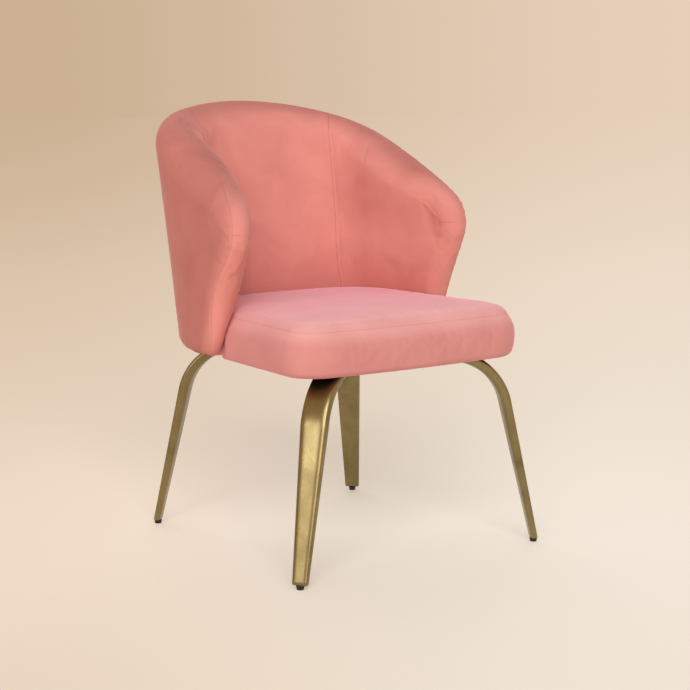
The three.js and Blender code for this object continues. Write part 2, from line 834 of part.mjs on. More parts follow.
/** The plug in the leg's end, with an upright hole for the glide's stem. */
function legPlug() {
  const size = (height) => {
    const narrowing = 1 - (height - legBottom) / (straightDrop - legEndChamferHeight);
    const x = (legBottom - height) * Math.tan(legTilt);
    return legRing({ x, z: height, turn: Math.PI / 2, narrowing }, legWall + plugGap);
  };
  const hole = uprightBar(stemDiameter + screwClearance, 0, legBottom + plugLength + cutOverrun);
  return cut(ringStack([size(legBottom), size(legBottom + plugLength)]), [hole]);
}

const plateMiddleX = tubeEndX + plateLength / 2 - plateBeyondTube;
const boltRun = plateLength / 2 - boltFromPlateEnd;
const boltPlaces = [
  [plateMiddleX - boltRun, 0],
  [plateMiddleX + boltRun, boltSpread / 2],
  [plateMiddleX + boltRun, -boltSpread / 2],
];

function legPlate() {
  const [halfLength, halfWidth] = [plateLength / 2, plateWidth / 2];
  const shape = new THREE.Shape();
  shape.moveTo(halfLength - plateCorner, -halfWidth);
  shape.quadraticCurveTo(halfLength, -halfWidth, halfLength, plateCorner - halfWidth);
  shape.lineTo(halfLength, halfWidth - plateCorner);
  shape.quadraticCurveTo(halfLength, halfWidth, halfLength - plateCorner, halfWidth);
  shape.lineTo(plateCorner - halfLength, halfWidth);
  shape.quadraticCurveTo(-halfLength, halfWidth, -halfLength, halfWidth - plateCorner);
  shape.lineTo(-halfLength, plateCorner - halfWidth);
  shape.quadraticCurveTo(-halfLength, -halfWidth, plateCorner - halfLength, -halfWidth);
  const options = { depth: plateThickness, bevelEnabled: false, curveSegments: plateCornerSteps };
  const plate = new THREE.ExtrudeGeometry(shape, options).translate(plateMiddleX, 0, plateBottom);
  return cut(plate, boltHoles(boltDiameter + screwClearance, plateBottom, plateTop));
}

function boltHoles(diameter, low, high) {
  return boltPlaces.map(([x, y]) => (
    uprightBar(diameter, low - cutOverrun, high + cutOverrun).translate(x, y, 0)));
}

function legBolt() {
  const headTop = plateBottom - seatingGap;
  const shank = uprightBar(boltDiameter, headTop - seatingGap, boardTop - nutFlangeThickness);
  return join([uprightBar(boltHeadDiameter, headTop - boltHeadHeight, headTop), shank]);
}

function teeNut() {
  const flangeLow = boardTop - nutFlangeThickness;
  const flange = uprightBar(nutFlangeDiameter, flangeLow, boardTop);
  const barrel = uprightBar(nutBarrelDiameter, flangeLow - nutBarrelLength, boardTop - seatingGap);
  const bore = uprightBar(
    boltDiameter + screwClearance, flangeLow - nutBarrelLength - cutOverrun, boardTop + cutOverrun);
  return cut(join([flange, barrel]), [bore]);
}

/** Stepped holes in the board for the tee nuts. */
function teeNutHoles() {
  const flangeLow = boardTop - nutFlangeThickness - seatingGap;
  return [
    ...boltHoles(nutBarrelDiameter + screwClearance, boardBottom, boardTop),
    ...boltPlaces.map(([x, y]) => uprightBar(
      nutFlangeDiameter + screwClearance, flangeLow, boardTop + cutOverrun).translate(x, y, 0)),
  ];
}

const legSides = {
  front_left: { x: frontFootX, y: frontFootY, angle: frontLegAngle },
  front_right: { x: -frontFootX, y: frontFootY, angle: 180 - frontLegAngle },
  rear_left: { x: rearFootX, y: rearFootY, angle: rearLegAngle },
  rear_right: { x: -rearFootX, y: rearFootY, angle: 180 - rearLegAngle },
};

/** Turns and moves a geometry from the leg's frame to one corner of the chair. */
function placeAtLeg(geometry, { x, y, angle }) {
  return geometry.clone().rotateZ(degToRad(angle)).translate(x, y, 0);
}

function atEveryLeg(geometries) {
  return Object.values(legSides).flatMap((leg) => (
    geometries.map((geometry) => placeAtLeg(geometry, leg))));
}

// Glides

function glidePad() {
  const socket = (stemDiameter + screwClearance) / 2;
  const [top, floor] = [glideTopDiameter / 2, glideFloorDiameter / 2];
  const profile = [
    [0, 0], [floor - glideEdge, 0], [floor, glideEdge], [top, glideHeight - glideEdge],
    [top - glideEdge, glideHeight], [socket, glideHeight],
    [socket, glideHeight - stemSocketDepth], [0, glideHeight - stemSocketDepth],
  ].map(([radius, height]) => new THREE.Vector2(radius, height));
  return new THREE.LatheGeometry(profile, glideSides).rotateX(Math.PI / 2);
}

function glideStem() {
  return uprightBar(stemDiameter, glideHeight - stemSocketDepth + seatingGap, glideHeight + stemReach);
}

// Finishes

const finish = (color, roughness, metalness = 0) => (
  new THREE.MeshStandardMaterial({ color, roughness, metalness }));
const velvet = () => finish(0xd97c72, 0.9);
const paleVelvet = () => finish(0xe19a96, 0.9);
const foam = () => finish(0xe9dfb8, 0.95);
const plywood = () => finish(0xc79a63, 0.7);
const cambric = () => finish(0x1d1b1a, 0.95);
const brassFinish = () => finish(0xc9a765, 0.35, 1);
const blackSteel = () => finish(0x2c2a28, 0.55, 0.8);
const zincSteel = () => finish(0xb9bcc0, 0.4, 0.9);
const nylon = () => finish(0x161412, 0.6);

// Assembly

const chair = new THREE.Group();
chair.name = 'scallop_back_chair';

function add(name, geometry, material, parent = chair) {
  const mesh = new THREE.Mesh(facingOut(geometry), material);
  mesh.name = name;
  parent.add(mesh);
}

const bracketRooms = bracketReaches.map(bracketRoom);
const centreStation = centreShare * (1 - clothGap / seamReach);
add('shell_cover_outer', cut(outerCover(), bracketRooms), velvet());
add('shell_cover_inner_right', innerPanel(-1, -centreShare, wingSteps, wingSteps), velvet());
add('shell_cover_inner_centre', innerPanel(
  -centreStation, centreStation, centreSteps, centreSteps / 2), velvet());
add('shell_cover_inner_left', innerPanel(centreShare, 1, wingSteps, 0), velvet());
add('shell_foam', cut(foamBlank(), [plywoodSheet(coreGap), ...bracketRooms]), foam());
add('shell_plywood', cut(plywoodSheet(0), plywoodScrewHoles), plywood());

const seatRooms = [...bracketRooms, legRoom(legSides.rear_left), legRoom(legSides.rear_right)];
const dustCoverHoles = atEveryLeg(boltHoles(boltDiameter + screwClearance, plateTop, boardBottom));
add('seat_cover_top', seatTopCover(), paleVelvet());
add('seat_cover_boxing', cut(seatBoxing(), seatRooms), velvet());
add('seat_foam', cut(seatFoam(), seatRooms), foam());
add('seat_board', cut(
  seatSheet(seatingGap, boardBottom, boardTop),
  [...atEveryLeg(teeNutHoles()), ...boardScrewHoles],
), plywood());
add('seat_dust_cover', cut(
  seatSheet(dustCoverMargin, dustCoverTop - dustCoverThickness, dustCoverTop),
  [...dustCoverHoles, ...boardScrewHoles],
), cambric());

for (const [side, { x, y, angle }] of Object.entries(legSides)) {
  const leg = new THREE.Group();
  leg.position.set(x, y, 0);
  leg.rotation.z = degToRad(angle);
  chair.add(leg);
  add(`leg_${side}`, legTube(), brassFinish(), leg);
  add(`leg_plate_${side}`, legPlate(), brassFinish(), leg);
  add(`leg_plug_${side}`, legPlug(), nylon(), leg);
  add(`glide_stem_${side}`, glideStem(), zincSteel(), leg);
  add(`glide_pad_${side}`, glidePad(), nylon(), leg);
  for (const [index, [runX, acrossY]] of boltPlaces.entries()) {
    add(`leg_bolt_${side}_${index + 1}`, legBolt().translate(runX, acrossY, 0), blackSteel(), leg);
    add(`leg_tee_nut_${side}_${index + 1}`, teeNut().translate(runX, acrossY, 0), zincSteel(), leg);
  }
}

for (const [side, reach] of Object.entries(bracketSides)) {
  add(`shell_bracket_${side}`, bracket(reach), blackSteel());
}

const bounds = new THREE.Box3().setFromObject(chair, true);
chair.position.y = -(bounds.min.y + bounds.max.y) / 2;

export default chair;
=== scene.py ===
"""Scallop back chair: velvet upholstery on splayed brass legs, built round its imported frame."""
import logging
import math
from dataclasses import dataclass, replace
from enum import Enum
from functools import cached_property

import bmesh
import bpy
import numpy as np
from mathutils import Matrix, Vector


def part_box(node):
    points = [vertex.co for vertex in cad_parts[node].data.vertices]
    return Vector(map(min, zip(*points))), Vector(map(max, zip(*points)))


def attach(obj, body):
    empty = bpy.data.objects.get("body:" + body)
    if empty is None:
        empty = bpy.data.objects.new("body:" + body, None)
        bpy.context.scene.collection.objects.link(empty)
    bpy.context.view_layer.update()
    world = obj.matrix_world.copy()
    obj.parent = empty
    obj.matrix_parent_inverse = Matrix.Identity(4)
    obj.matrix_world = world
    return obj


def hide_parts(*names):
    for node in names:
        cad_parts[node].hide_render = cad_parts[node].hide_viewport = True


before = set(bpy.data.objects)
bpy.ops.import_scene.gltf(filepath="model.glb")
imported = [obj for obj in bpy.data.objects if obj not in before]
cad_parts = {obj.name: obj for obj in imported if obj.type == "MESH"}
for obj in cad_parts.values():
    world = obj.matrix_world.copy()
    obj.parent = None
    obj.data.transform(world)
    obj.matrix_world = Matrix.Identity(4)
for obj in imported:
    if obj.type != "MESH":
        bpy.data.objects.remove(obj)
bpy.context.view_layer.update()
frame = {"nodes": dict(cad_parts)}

LOG = logging.getLogger("scallop_back_chair")
MM = 0.001
TINY = 1e-12
QUARTER = math.pi / 2
CHAIR_BODY = "chair"
# Names of two vertex attributes of the cloth: how much painted shade it takes and how freely it
# settles
PAINTED_SHADE = "painted_shade"
LOOSE = "loose"
# How far behind the frame's middle the curves of every plan start
PLAN_MIDDLE = -0.04162
Array = np.ndarray
Mesh = bmesh.types.BMesh
Piece = bpy.types.Object
Tree = bpy.types.NodeTree
Socket = bpy.types.NodeSocket
Pair = tuple[float, float]
Triple = tuple[float, float, float]


class Side(Enum):
    """The four corners of the chair, as the sitter names them."""

    FRONT_LEFT = "front_left"
    FRONT_RIGHT = "front_right"
    REAR_LEFT = "rear_left"
    REAR_RIGHT = "rear_right"


class Panel(Enum):
    """The cloth panels of the shell."""

    OUTER = "outer"
    INNER_RIGHT = "inner_right"
    INNER_CENTRE = "inner_centre"
    INNER_LEFT = "inner_left"


# Small tools


def smooth_share(value: Array, low: float, high: float) -> Array:
    """Share from 0 at low to 1 at high, eased at both ends."""
    share = np.clip((value - low) / (high - low), 0, 1)
    return share * share * (3 - 2 * share)


def mix(low: Array, high: Array, share: Array) -> Array:
    """Straight mix of two values or arrays."""
    return low + (high - low) * share


def unit(vectors: Array) -> Array:
    """The vectors, each scaled to a length of 1."""
    return vectors / np.maximum(np.linalg.norm(vectors, axis=-1, keepdims=True), TINY)


def crowded(count: int, strength: float = 1.0, both: bool = True) -> Array:
    """Shares from 0 to 1 that crowd at 0, and also at 1 where both ends are asked for."""
    even = np.linspace(0, 1, count)
    eased = (1 - np.cos(even * math.pi)) / 2 if both else 1 - np.cos(even * QUARTER)
    return mix(even, eased, strength)


def ripple(along: Array, wave: float) -> Array:
    """An uneven wave between about -1 and 1, as gathered cloth has along a seam."""
    turn = 2 * math.pi * along / wave
    return (np.sin(turn) + 0.7 * np.sin(1.73 * turn + 1.3) + 0.5 * np.sin(2.91 * turn + 4.1)) / 2.2


def travelled(path: Array) -> Array:
    """Distance from the start of a path to each of its points."""
    return np.concatenate([[0], np.cumsum(np.linalg.norm(np.diff(path, axis=0), axis=1))])


def run_lengths(points: Array, axis: int) -> Array:
    """Distance travelled along one axis of a grid of points, from its first row."""
    steps = np.linalg.norm(np.diff(points, axis=axis), axis=-1)
    pad = [(0, 0), (0, 0)]
    pad[axis] = (1, 0)
    return np.cumsum(np.pad(steps, pad), axis=axis)


def bezier(points: list[Pair], count: int) -> Array:
    """Points along a quadratic or cubic Bezier curve."""
    share = np.linspace(0, 1, count)[:, None]
    layer = [np.array(point, float) for point in points]
    while len(layer) > 1:
        layer = [mix(a, b, share) for a, b in zip(layer, layer[1:])]
    return layer[0]


def at_lengths(path: Array, lengths: Array) -> tuple[Array, Array]:
    """Points and unit normals of a plane path at distances from its start."""
    distance = travelled(path)
    point, turn = (np.stack([np.interp(lengths, distance, values[:, k]) for k in (0, 1)], -1)
                   for values in (path, np.gradient(path, axis=0)))
    return point, unit(np.stack([-turn[:, 1], turn[:, 0]], -1))


def new_object(name: str, bm: Mesh) -> Piece:
    """Turns a bmesh into a smooth-shaded object in the scene."""
    mesh = bpy.data.meshes.new(name)
    bm.to_mesh(mesh)
    bm.free()
    mesh.shade_smooth()
    return in_scene(name, mesh)


def in_scene(name: str, data: bpy.types.ID) -> Piece:
    """Puts a mesh, a lamp or a camera into the scene as an object."""
    made = bpy.data.objects.new(name, data)
    bpy.context.scene.collection.objects.link(made)
    return made


def places_of(mesh: bpy.types.Mesh) -> Array:
    """The places of a mesh's vertices, a row for each."""
    places = np.zeros(3 * len(mesh.vertices))
    mesh.vertices.foreach_get("co", places)
    return places.reshape(-1, 3)


def move_to(mesh: bpy.types.Mesh, places: Array) -> None:
    """Moves a mesh's vertices to new places."""
    mesh.vertices.foreach_set("co", places.ravel())
    mesh.update()


def loft(bm: Mesh, rings: Array) -> list[list[bmesh.types.BMVert]]:
    """Draws out a circle from ring to ring.

    Args:
        bm: the empty mesh that takes the skin.
        rings: the places of each ring's points.

    Returns:
        The vertices of every ring, in the order of its points.
    """
    made = bmesh.ops.create_circle(bm, cap_ends=False, segments=rings.shape[1], radius=1)
    current = made["verts"]
    for vertex, place in zip(current, rings[0]):
        vertex.co = place
    edges = bm.edges[:]
    drawn = [current]
    for ring in rings[1:]:
        out = bmesh.ops.extrude_edge_only(bm, edges=edges)["geom"]
        fresh = {item for item in out if isinstance(item, bmesh.types.BMVert)}
        edges = [item for item in out if isinstance(item, bmesh.types.BMEdge)
                 and item.verts[0] in fresh and item.verts[1] in fresh]
        following = []
        for vertex, place in zip(current, ring):
            partner = next(edge.other_vert(vertex) for edge in vertex.link_edges
                           if edge.other_vert(vertex) in fresh)
            partner.co = place
            following.append(partner)
        current = following
        drawn.append(current)
    for index, vertex in enumerate(vertex for ring in drawn for vertex in ring):
        vertex.index = index
    bm.verts.sort()
    return drawn


def in_order(bm: Mesh) -> None:
    """Sorts edges and faces by their vertices, so that cloth settles alike in every run."""
    bm.verts.index_update()
    count = len(bm.verts)

    def rank(item: bmesh.types.BMEdge | bmesh.types.BMFace) -> int:
        """The two lowest vertices of an edge or a face, as one number."""
        low, second = sorted(vertex.index for vertex in item.verts)[:2]
        return low * count + second

    for items in (bm.edges, bm.faces):
        items.sort(key=rank)
        items.index_update()


def dress(piece: Piece, material: bpy.types.Material) -> None:
    """Gives a piece one material all over."""
    piece.data.materials.clear()
    piece.data.materials.append(material)


def hand_over(piece: Piece, material: bpy.types.Material, body: str,
              nodes: list[str]) -> None:
    """Args:
        piece: the piece.
        material: what it is dressed in.
        body: the body that it rides on.
        nodes: the CAD nodes that it replaces.
    """
    dress(piece, material)
    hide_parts(*nodes)
    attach(piece, body)
    LOG.info("%s: %d faces", piece.name, len(piece.data.polygons))


# Cloth


@dataclass(frozen=True)
class ClothSettling:
    """Cloth simulation that lets a panel fill out between its seams."""

    pressure: float = 4.0
    frames: int = 12
    cap: float = 2 * MM
    spare: float = 0.006
    quality: int = 3
    mass: float = 0.3
    stretch: float = 15.0
    shear: float = 5.0
    bending: float = 0.5

    def run(self, piece: Piece) -> None:
        """Simulates the panel, pinned where its loose attribute is 0, and keeps the result.

        Args:
            piece: a skin with a value from 0 to 1 on each vertex for how loose it is.
        """
        mesh = piece.data
        loose = np.zeros(len(mesh.vertices))
        mesh.attributes[LOOSE].data.foreach_get("value", loose)
        mesh.attributes.remove(mesh.attributes[LOOSE])
        sewn = piece.vertex_groups.new(name="sewn")
        for index, value in enumerate(loose):
            sewn.add([index], 1 - float(value), "REPLACE")
        cloth = piece.modifiers.new("cloth", "CLOTH")
        for name, value in {
            "quality": self.quality, "mass": self.mass, "tension_stiffness": self.stretch,
            "compression_stiffness": self.stretch, "shear_stiffness": self.shear,
            "bending_stiffness": self.bending, "shrink_min": -self.spare,
            "shrink_max": -self.spare, "use_pressure": True,
            "uniform_pressure_force": self.pressure, "vertex_group_mass": sewn.name,
        }.items():
            setattr(cloth.settings, name, value)
        cloth.settings.effector_weights.gravity = 0
        cloth.collision_settings.use_collision = False
        cloth.collision_settings.use_self_collision = False
        cloth.point_cache.frame_start = 1
        cloth.point_cache.frame_end = self.frames
        for number in range(1, self.frames + 1):
            bpy.context.scene.frame_set(number)
        graph = bpy.context.evaluated_depsgraph_get()
        before = places_of(mesh)
        move = places_of(piece.evaluated_get(graph).data) - before
        length = np.maximum(np.linalg.norm(move, axis=1, keepdims=True), 1e-9)
        LOG.info("%s: cloth moved up to %.1f mm", piece.name, length.max() / MM)
        move *= self.cap * np.tanh(length / self.cap) / length * loose[:, None]
        piece.modifiers.clear()
        piece.vertex_groups.clear()
        move_to(mesh, before + move)
        bpy.context.scene.frame_set(1)


@dataclass(frozen=True)
class Passage:
    """A bar that passes under the edge of a cloth panel, in its own turned frame."""

    frame: Matrix
    low: Pair
    high: Pair
    top: float
    ease: float = 5 * MM

    def lift(self, piece: Piece) -> None:
        """Raises the cloth's edge where it would cut through the bar."""
        inverse = self.frame.inverted()
        for vertex in piece.data.vertices:
            if vertex.co.z >= self.top:
                continue
            place = inverse @ vertex.co
            outside = max(max(low - value, value - high)
                          for low, high, value in zip(self.low, self.high, place))
            share = 1 - min(max(outside / self.ease, 0.0), 1.0)
            vertex.co.z = mix(vertex.co.z, self.top, share * share * (3 - 2 * share))


@dataclass(frozen=True)
class Passages:
    """The rear leg tubes and the bracket flanges, which pass under the velvet."""

    beside: float = 2 * MM
    above_tube: float = 1.2 * MM
    tube_run: Pair = (-0.30, -0.10)
    flange_top: float = 0.3740

    def lift(self, piece: Piece) -> None:
        """Raises a panel's edge over every one of them."""
        legs = LegSet()
        half = legs.top_size[0] / 2 + self.beside
        top = legs.axis_height + legs.top_size[1] / 2 + self.above_tube
        for side in (Side.REAR_LEFT, Side.REAR_RIGHT):
            Passage(legs.corner(side), (self.tube_run[0], -half), (self.tube_run[1], half),
                    top).lift(piece)
        for name in sorted(frame["nodes"]):
            if name.startswith("shell_bracket_"):
                low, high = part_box(name)
                Passage(Matrix.Identity(4), (low[0] - self.beside, low[1] - self.beside),
                        (high[0] + self.beside, high[1] + self.beside),
                        self.flange_top).lift(piece)


def thicken(piece: Piece, thickness: float) -> None:
    """Gives a skin its thickness on the inner side, with closed edges."""
    wall = piece.modifiers.new("thickness", "SOLIDIFY")
    wall.thickness = thickness
    wall.offset = -1
    bpy.context.view_layer.update()
    graph = bpy.context.evaluated_depsgraph_get()
    made = bpy.data.meshes.new_from_object(piece.evaluated_get(graph))
    piece.modifiers.clear()
    made.name = piece.name
    piece.data = made


# Finishes


def feed(node: bpy.types.Node, inputs: dict[str | int, object]) -> None:
    """Gives inputs of a node their values, or links where a socket stands for the value."""
    for key, value in inputs.items():
        if isinstance(value, Socket):
            node.id_data.links.new(value, node.inputs[key])
        else:
            node.inputs[key].default_value = value


def add(tree: Tree, kind: str, inputs: dict[str | int, object] | None = None,
        **options: object) -> bpy.types.Node:
    """Adds a shader node.

    Args:
        tree: node tree that takes it.
        kind: its type, without the part that all types share.
        inputs: what its inputs are fed with.
        options: its own settings.

    Returns:
        The node.
    """
    node = tree.nodes.new(f"ShaderNode{kind}")
    for name, value in options.items():
        setattr(node, name, value)
    feed(node, inputs or {})
    return node


def rgba(text: str) -> tuple[float, float, float, float]:
    """A colour written as six hex digits, as linear shares with full cover."""
    values = [int(text[k:k + 2], 16) / 255 for k in (0, 2, 4)]
    return *(v / 12.92 if v <= 0.04045 else ((v + 0.055) / 1.055) ** 2.4 for v in values), 1


class GrainGroup:
    """Shader group: fine streaks or specks over soft patches, for every finish."""

    name = "grain_and_patches"
    inputs = {"Vector": "Vector", "Stretch": "Vector", "Grain Scale": "Float",
              "Patch Scale": "Float", "Light Colour": "Color", "Dark Colour": "Color",
              "Grain Share": "Float", "Patch Share": "Float", "Low Roughness": "Float",
              "High Roughness": "Float"}
    outputs = {"Colour": "Color", "Roughness": "Float", "Height": "Float", "Patches": "Float"}
    grain_detail = 3
    patch_detail = 4
    patch_distortion = 0.6
    patch_range = (0.3, 0.7)

    @classmethod
    def tree(cls) -> Tree:
        """The group, built the first time that it is asked for."""
        return bpy.data.node_groups.get(cls.name) or cls._build()

    @classmethod
    def _build(cls) -> Tree:
        """Makes the sockets and the nodes between them."""
        tree = bpy.data.node_groups.new(cls.name, "ShaderNodeTree")
        for sockets, way in ((cls.inputs, "INPUT"), (cls.outputs, "OUTPUT")):
            for name, kind in sockets.items():
                tree.interface.new_socket(name, in_out=way, socket_type=f"NodeSocket{kind}")
        given = tree.nodes.new("NodeGroupInput").outputs
        stretched = add(tree, "VectorMath", {0: given["Vector"], 1: given["Stretch"]},
                        operation="MULTIPLY")
        grain = add(tree, "TexNoise", {
            "Vector": stretched.outputs[0], "Scale": given["Grain Scale"],
            "Detail": cls.grain_detail}).outputs["Fac"]
        patches = add(tree, "TexNoise", {
            "Vector": given["Vector"], "Scale": given["Patch Scale"],
            "Detail": cls.patch_detail, "Distortion": cls.patch_distortion})
        spread = add(tree, "MapRange", {
            "Value": patches.outputs["Fac"], "From Min": cls.patch_range[0],
            "From Max": cls.patch_range[1]}).outputs["Result"]
        part = add(tree, "Math", {0: grain, 1: given["Grain Share"]}, operation="MULTIPLY")
        total = add(tree, "Math", {0: spread, 1: given["Patch Share"], 2: part.outputs[0]},
                    operation="MULTIPLY_ADD", use_clamp=True).outputs[0]
        colour = add(tree, "Mix", data_type="RGBA")
        feed(colour, {0: total, 6: given["Light Colour"], 7: given["Dark Colour"]})
        rough = add(tree, "MapRange", {
            "Value": total, "To Min": given["Low Roughness"],
            "To Max": given["High Roughness"]})
        feed(tree.nodes.new("NodeGroupOutput"), {
            "Colour": colour.outputs[2], "Roughness": rough.outputs["Result"],
            "Height": grain, "Patches": spread})
        return tree


@dataclass(frozen=True)
class Finish:
    """One finish of the chair: colours, gloss and the relief of its grain."""

    name: str
    light: str
    dark: str
    roughness: Pair
    grain_scale: float
    patch_scale: float = 8.0
    stretch: Triple = (1.0, 1.0, 1.0)
    grain_share: float = 0.6
    patch_share: float = 0.4
    relief: float = 0.05 * MM
    metallic: float = 0.0
    specular: float = 0.5
    sheen: float = 0.0
    sheen_roughness: float = 0.4
    sheen_tint: str = "ffffff"

    def material(self) -> bpy.types.Material:
        """The finish as a material, built the first time that it is asked for."""
        return bpy.data.materials.get(self.name) or self._build()

    def _build(self) -> bpy.types.Material:
        """Places the shared group and the shader, and joins them."""
        material = bpy.data.materials.new(self.name)
        material.use_nodes = True
        tree = material.node_tree
        place = add(tree, "TexCoord").outputs["Object"]
        grain = add(tree, "Group", node_tree=GrainGroup.tree())
        feed(grain, {
            "Vector": place, "Stretch": self.stretch, "Grain Scale": self.grain_scale,
            "Patch Scale": self.patch_scale, "Light Colour": rgba(self.light),
            "Dark Colour": rgba(self.dark), "Grain Share": self.grain_share,
            "Patch Share": self.patch_share, "Low Roughness": self.roughness[0],
            "High Roughness": self.roughness[1]})
        bump = add(tree, "Bump", {
            "Distance": self.relief, "Height": self.height(tree, place, grain)})
        feed(tree.nodes["Principled BSDF"], {
            "Base Color": self.colour(tree, grain), "Roughness": grain.outputs["Roughness"],
            "Normal": bump.outputs["Normal"], "Metallic": self.metallic,
            "Specular IOR Level": self.specular, "Sheen Weight": self.sheen,
            "Sheen Roughness": self.sheen_roughness, "Sheen Tint": rgba(self.sheen_tint)})
        return material

    def colour(self, tree: Tree, grain: bpy.types.Node) -> Socket:
        """The socket that gives the colour."""
        return grain.outputs["Colour"]

    def height(self, tree: Tree, place: Socket, grain: bpy.types.Node) -> Socket:
        """The socket that gives the relief."""
        return grain.outputs["Height"]


@dataclass(frozen=True)
class VelvetFinish(Finish):
    """Velvet: short pile with brushed patches and a soft lie, and painted shade where the cloth's
    attribute asks for it.
    """

    pile_scale: float = 260.0
    pile_share: float = 1.6
    pile_detail: float = 2.0
    # Colour that multiplies in the painted shade, for surfaces turned from the light
    painted_shade_tint: Triple = (0.74, 0.68, 0.66)

    def colour(self, tree: Tree, grain: bpy.types.Node) -> Socket:
        """The grain's colour, darkened by painted shade where the cloth's own attribute asks for
        it.
        """
        painted_shade = add(tree, "Attribute", attribute_name=PAINTED_SHADE)
        tinted = add(tree, "Mix", data_type="RGBA", blend_type="MULTIPLY")
        feed(tinted, {0: painted_shade.outputs["Fac"], 6: grain.outputs["Colour"], 7: (*self.painted_shade_tint, 1)})
        return tinted.outputs[2]

    def height(self, tree: Tree, place: Socket, grain: bpy.types.Node) -> Socket:
        """The lie of the pile over its single tufts."""
        lie = add(tree, "TexNoise", {
            "Vector": place, "Scale": self.pile_scale, "Detail": self.pile_detail})
        return add(tree, "Math", {
            0: lie.outputs["Fac"], 1: self.pile_share, 2: grain.outputs["Height"]},
            operation="MULTIPLY_ADD").outputs[0]


VELVET = VelvetFinish(
    "coral_velvet", light="dc8f85", dark="c0736a", roughness=(0.82, 0.95), grain_scale=1500,
    patch_scale=13, grain_share=0.35, patch_share=0.38, relief=0.12 * MM, specular=0.15,
    sheen=0.3, sheen_roughness=0.32, sheen_tint="ffc6c6")
# A paler, pinker copy of the velvet with more sheen: painted sheen for the seat, lit at a grazing
# view; its band takes stronger painted shade
VELVET_PAINTED_SHEEN = replace(VELVET, name="coral_velvet_painted_sheen", light="eeb2ae", dark="da9b97",
                      sheen=0.7, sheen_tint="ffb8d4", painted_shade_tint=(0.74, 0.58, 0.55))
BRASS = Finish(
    "brushed_brass", light="a5956a", dark="5c5032", roughness=(0.24, 0.36), grain_scale=900,
    patch_scale=14, stretch=(1.0, 1.0, 0.05), grain_share=0.5, patch_share=0.4,
    relief=0.02 * MM, metallic=1.0)
BLACK_STEEL = Finish(
    "black_powder_coat", light="2b2a2a", dark="161515", roughness=(0.45, 0.62),
    grain_scale=2600, patch_scale=30, relief=0.06 * MM, specular=0.4)
ZINC_STEEL = Finish(
    "zinc_plated_steel", light="c3c6c9", dark="8f9296", roughness=(0.28, 0.45),
    grain_scale=1400, patch_scale=120, relief=0.02 * MM, metallic=1.0)
NYLON = Finish(
    "black_nylon", light="1c1a18", dark="0c0b0a", roughness=(0.42, 0.6), grain_scale=1800,
    patch_scale=60, relief=0.05 * MM, specular=0.45)
PLYWOOD = Finish(
    "birch_plywood", light="d9b57f", dark="a8793f", roughness=(0.55, 0.75), grain_scale=260,
    patch_scale=5, stretch=(0.06, 1.0, 1.0), relief=0.08 * MM, specular=0.35)
DUST_CLOTH = Finish(
    "black_dust_cloth", light="242221", dark="0f0e0e", roughness=(0.85, 0.98),
    grain_scale=2400, patch_scale=90, relief=0.1 * MM, specular=0.1)


# The shell


@dataclass(frozen=True)
class SeamStyle:
    """How cloth is drawn in along a seam: depth, width, gathers and a raised edge."""

    sink: float
    width: float
    gather: float = 0.0
    wave: float = 22 * MM
    reach: float = 14 * MM
    ridge: float = 0.0
    ridge_place: float = 3.5 * MM
    ridge_width: float = 2.2 * MM

    def relief(self, away: Array, along: Array) -> Array:
        """Height of the cloth over its plain form.

        Args:
            away: distance from the seam.
            along: distance along the seam.

        Returns:
            The height, below 0 where the cloth is drawn in.
        """
        near = np.exp(-(away / self.width) ** 2)
        gathers = self.gather * ripple(along, self.wave) * np.exp(-away / self.reach) * (1 - near)
        raised = self.ridge * np.exp(-((away - self.ridge_place) / self.ridge_width) ** 2)
        return gathers + raised - self.sink * near


